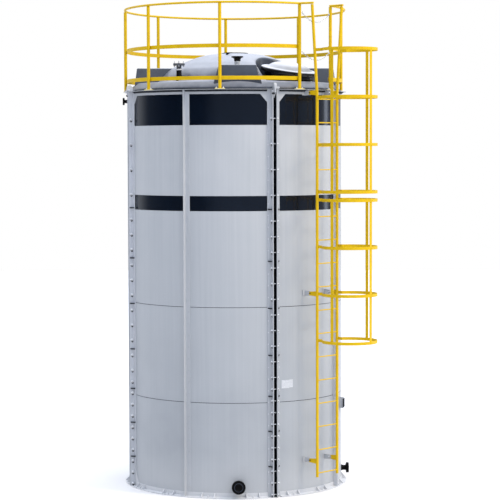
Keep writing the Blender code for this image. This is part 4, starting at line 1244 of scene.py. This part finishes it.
def ladder_arms(at):
    # yellow plates, narrow at the bolt and wide at the stringer, on grey lugs on the jacket
    arms = bmesh.new()
    lugs = bmesh.new()
    bolts = bmesh.new()
    nuts = bmesh.new()
    along = at.col[1].to_3d()
    for z in BRACKET_Z:
        for side in (-1.0, 1.0):
            y = side * stringer_half(z)
            foot = math.sqrt(JACKET_R ** 2 - y ** 2) - LADDER_R
            stand = at @ Matrix.Translation((0.0, y, z - ARM_DROP)) @ ON_EDGE
            edge = [(foot + ARM_END[0], ARM_Z[0]), (foot + ARM_END[1], ARM_Z[1]), (0.0, ARM_Z[2])]
            prism(arms, [(x, -h) for x, h in edge] + edge[::-1], stand, -ARM_HALF, ARM_HALF)
            lug = [(foot + 0.001, -0.034), (foot + LUG_NECK, -LUG_ROUND[1])]
            for i in range(11):
                a = math.pi * i / 10.0
                lug.append((foot + LUG_ROUND[0] + LUG_ROUND[1] * math.sin(a), -LUG_ROUND[1] * math.cos(a)))
            lug += [(foot + LUG_NECK, LUG_ROUND[1]), (foot + 0.001, 0.034)]
            prism(lugs, lug, stand, *sorted(side * face for face in LUG_SIDES))
            block(lugs, at, (foot - 0.002, foot + 0.006), (y - 0.035, y + 0.035), (z - 0.034, z + 0.034))
            spot = at @ Vector((foot + 0.100, y - side * LUG_SIDES[1], z))
            hex_bolt(bolts, looking(spot, -side * along), SMALL_BOLT)
            # the nut on the arm is dark: painted shade under the bolt
            spot = at @ Vector((foot + 0.104, y + side * ARM_HALF, z))
            hex_bolt(nuts, looking(spot, side * along), LADDER_NUT, False, THREAD_END)
    make("ladder_arms", arms, YELLOW, ["ladder_bracket_" + str(i + 1) for i in range(6)], edge=0.0008)
    make("ladder_lugs", lugs, GREY_FRAME, edge=0.0008)
    make("ladder_bolts", bolts, ZINC)
    make("ladder_nuts", nuts, DARK_STEEL_AND_SHADE)


def hoop_path(z):
    # from one stringer round to the other
    half = stringer_half(z)
    end = math.degrees(math.asin(half / CAGE_RADIUS))
    start_x = STRINGER_RADIUS + 0.0002
    path = [Vector((start_x, -half))]
    for i in range(HOOP_STEPS + 1):
        a = math.radians(-180.0 + end + (360.0 - 2.0 * end) * i / HOOP_STEPS)
        path.append(Vector((CAGE_CENTRE + CAGE_RADIUS * math.cos(a), CAGE_RADIUS * math.sin(a))))
    return path + [Vector((start_x, half))]


def cages():
    # hoops with three upright straps on their inner side
    at = upright(LADDER_AZ, LADDER_R)
    centre = upright(LADDER_AZ, LADDER_R + CAGE_CENTRE)
    strap_face = CAGE_RADIUS - HOOP_T / 2.0 + 0.0002
    rivets = bmesh.new()
    for name, levels in (("cage_lower", LOWER_HOOPS), ("cage_upper", UPPER_HOOPS)):
        bm = bmesh.new()
        for z in levels:
            flat_bar(bm, hoop_path(z), HOOP_T, at, z - HOOP_HALF, z + HOOP_HALF)
        run = (levels[0] - HOOP_HALF + 0.002, levels[-1] + HOOP_HALF - 0.002)
        for angle in STRAP_ANGLES:
            turn = centre @ Matrix.Rotation(math.radians(angle), 4, "Z")
            block(bm, turn, (strap_face - HOOP_T, strap_face), (-STRAP_HALF, STRAP_HALF), run)
            for z in levels:
                spot = turn @ Vector((CAGE_RADIUS + HOOP_T / 2.0, 0.0, z))
                turned(rivets, CAGE_RIVET_HEAD, looking(spot, turn.col[0].to_3d()), 12)
        make(name + "_bars", bm, YELLOW, [name], smooth=25.0, edge=0.001)
    make("cage_rivets", rivets, YELLOW)


def chains():
    # two sagging chains across the gap in the guardrail, each link a quarter turn from the next
    at = upright(LADDER_AZ)
    post = at.inverted() @ polar(POST_R, POST_AZ[0])
    end = post.y - POST_RADIUS
    for number, (high, low) in enumerate(CHAIN_Z):
        bm = bmesh.new()
        points = []
        for i in range(CHAIN_STEPS + 1):
            t = -1.0 + 2.0 * i / CHAIN_STEPS
            points.append(Vector((post.x, end * t, low + (high - low) * t * t)))
        runs = [0.0]
        for a, b in zip(points, points[1:]):
            runs.append(runs[-1] + (b - a).length)
        links = round(runs[-1] / LINK_PITCH)
        for n in range(links):
            target = runs[-1] * (n + 0.5) / links
            i = min(range(1, CHAIN_STEPS), key=lambda j: abs(runs[j] - target))
            along = (points[i + 1] - points[i - 1]).normalized()
            roll = math.radians(45.0 + 90.0 * (n % 2))
            across = math.cos(roll) * X + math.sin(roll) * along.cross(X)
            link = oval(at, points[i], along * LINK_HALF_LENGTH, across * LINK_HALF_WIDTH, 12)
            bar(bm, link, LINK_WIRE, 6)
        for side in (-1.0, 1.0):
            eye = Vector((post.x, side * (end + 0.001 - EYE_RADIUS), high))
            bar(bm, oval(at, eye, Y * EYE_RADIUS, Z * EYE_RADIUS, 12), EYE_WIRE, 6)
        tag = "_" + str(number + 1)
        make("chain_links" + tag, bm, ZINC, ["gate_chain" + tag], smooth=60.0)


# studio


def soft_box(name, az, reach, height, size, power, colour):
    # a flat light that faces the middle of the tank
    light = bpy.data.lights.new(name, "AREA")
    light.shape = "RECTANGLE"
    light.size, light.size_y = size
    light.energy = power
    light.color = linear(colour)[:3]
    lamp = bpy.data.objects.new(name, light)
    bpy.context.scene.collection.objects.link(lamp)
    lamp.location = polar(reach, az, height)
    lamp.rotation_euler = (LIGHTS_AIM - lamp.location).to_track_quat("-Z", "Y").to_euler()


def studio_room():
    # a soft ceiling light over walls that are dark at the left, blue-grey in front and pale at the back
    world = bpy.data.worlds.new("studio")
    bpy.context.scene.world = world
    world.use_nodes = True
    tree = world.node_tree
    tree.nodes.clear()
    place = wire(tree, "ShaderNodeTexCoord").outputs["Generated"]
    parts = wire(tree, "ShaderNodeSeparateXYZ", links={"Vector": place})
    ceiling = wire(tree, "ShaderNodeMapRange",
                   {"From Min": 0.10, "From Max": 0.95, "To Min": 0.0, "To Max": 2.2,
                    "interpolation_type": "SMOOTHSTEP"}, {"Value": parts.outputs["Z"]})
    ahead = wire(tree, "ShaderNodeMath", {"operation": "MULTIPLY", 1: -1.0}, {0: parts.outputs["Y"]})
    bearing = wire(tree, "ShaderNodeMath", {"operation": "ARCTAN2"},
                   {0: parts.outputs["X"], 1: ahead.outputs[0]})
    turn = wire(tree, "ShaderNodeMapRange", {"From Min": -math.pi, "From Max": math.pi},
                {"Value": bearing.outputs[0]})
    walls = wire(tree, "ShaderNodeValToRGB", links={"Fac": turn.outputs[0]},
                 stops=[((az + 180.0) / 360.0, tone) for az, tone in WALL_TONES])
    glow = wire(tree, "ShaderNodeBackground", {"Color": linear("#EFF4FF")}, {"Strength": ceiling.outputs[0]})
    room = wire(tree, "ShaderNodeBackground", {"Strength": 1.0}, {"Color": walls.outputs["Color"]})
    both = wire(tree, "ShaderNodeAddShader", links={0: glow.outputs[0], 1: room.outputs[0]})
    # the eye sees plain white behind the tank
    paper = wire(tree, "ShaderNodeBackground", {"Color": (1.0, 1.0, 1.0, 1.0), "Strength": 1.0})
    seen = wire(tree, "ShaderNodeLightPath").outputs["Is Camera Ray"]
    mix = wire(tree, "ShaderNodeMixShader", links={0: seen, 1: both.outputs[0], 2: paper.outputs[0]})
    wire(tree, "ShaderNodeOutputWorld", links={"Surface": mix.outputs[0]})


def studio():
    bpy.context.scene.view_settings.view_transform = "Standard"
    studio_room()
    # a warm key high at the right, and a narrow cool panel at the right rear
    soft_box("key", 59.0, 15.0, 15.5, (4.4, 4.4), 1900.0, "#FFF1DC")
    soft_box("right_panel", 109.0, 13.0, 4.5, (1.5, 9.0), 115.0, "#E4EEFF")
    # Concrete floor, painted white: pale and without shine.
    paint, _, shader, _ = start_finish("painted_floor", "#DEDCDA", 0.9, specular=0.1)
    bm = bmesh.new()
    bmesh.ops.create_circle(bm, cap_ends=True, segments=96, radius=FLOOR_R)
    floor = new_piece("studio_floor", bm, paint)
    floor.location.z = -0.0005


def camera():
    data = bpy.data.cameras.new("camera")
    data.sensor_width = SENSOR
    data.lens = LENS
    data.clip_end = 400.0
    eye = bpy.data.objects.new("camera", data)
    bpy.context.scene.collection.objects.link(eye)
    heading = math.radians(HEADING)
    pitch = math.radians(PITCH)
    level = math.cos(pitch)
    ahead = Vector((math.sin(heading) * level, math.cos(heading) * level, -math.sin(pitch)))
    turn = ahead.to_track_quat("-Z", "Y").to_matrix().to_4x4()
    roll = Matrix.Rotation(math.radians(ROLL), 4, "Z")
    eye.matrix_world = Matrix.Translation(polar(EYE_R, EYE_AZ, EYE_Z)) @ turn @ roll
    bpy.context.scene.camera = eye


camera()
studio()
jacket_plates()
flange_and_seam_beads()
base_rings()
middle_strips()
joint_angles()
tank_wall()
hatch_frame = upright(HATCH_AZ, HATCH_R, NECK_TOP) @ Matrix.Rotation(math.radians(NECK_TILT), 4, "Y")
roof(hatch_frame)
hatch_lid(hatch_frame)
nozzles()
name_plate()
guardrail()
ladder()
cages()
chains()
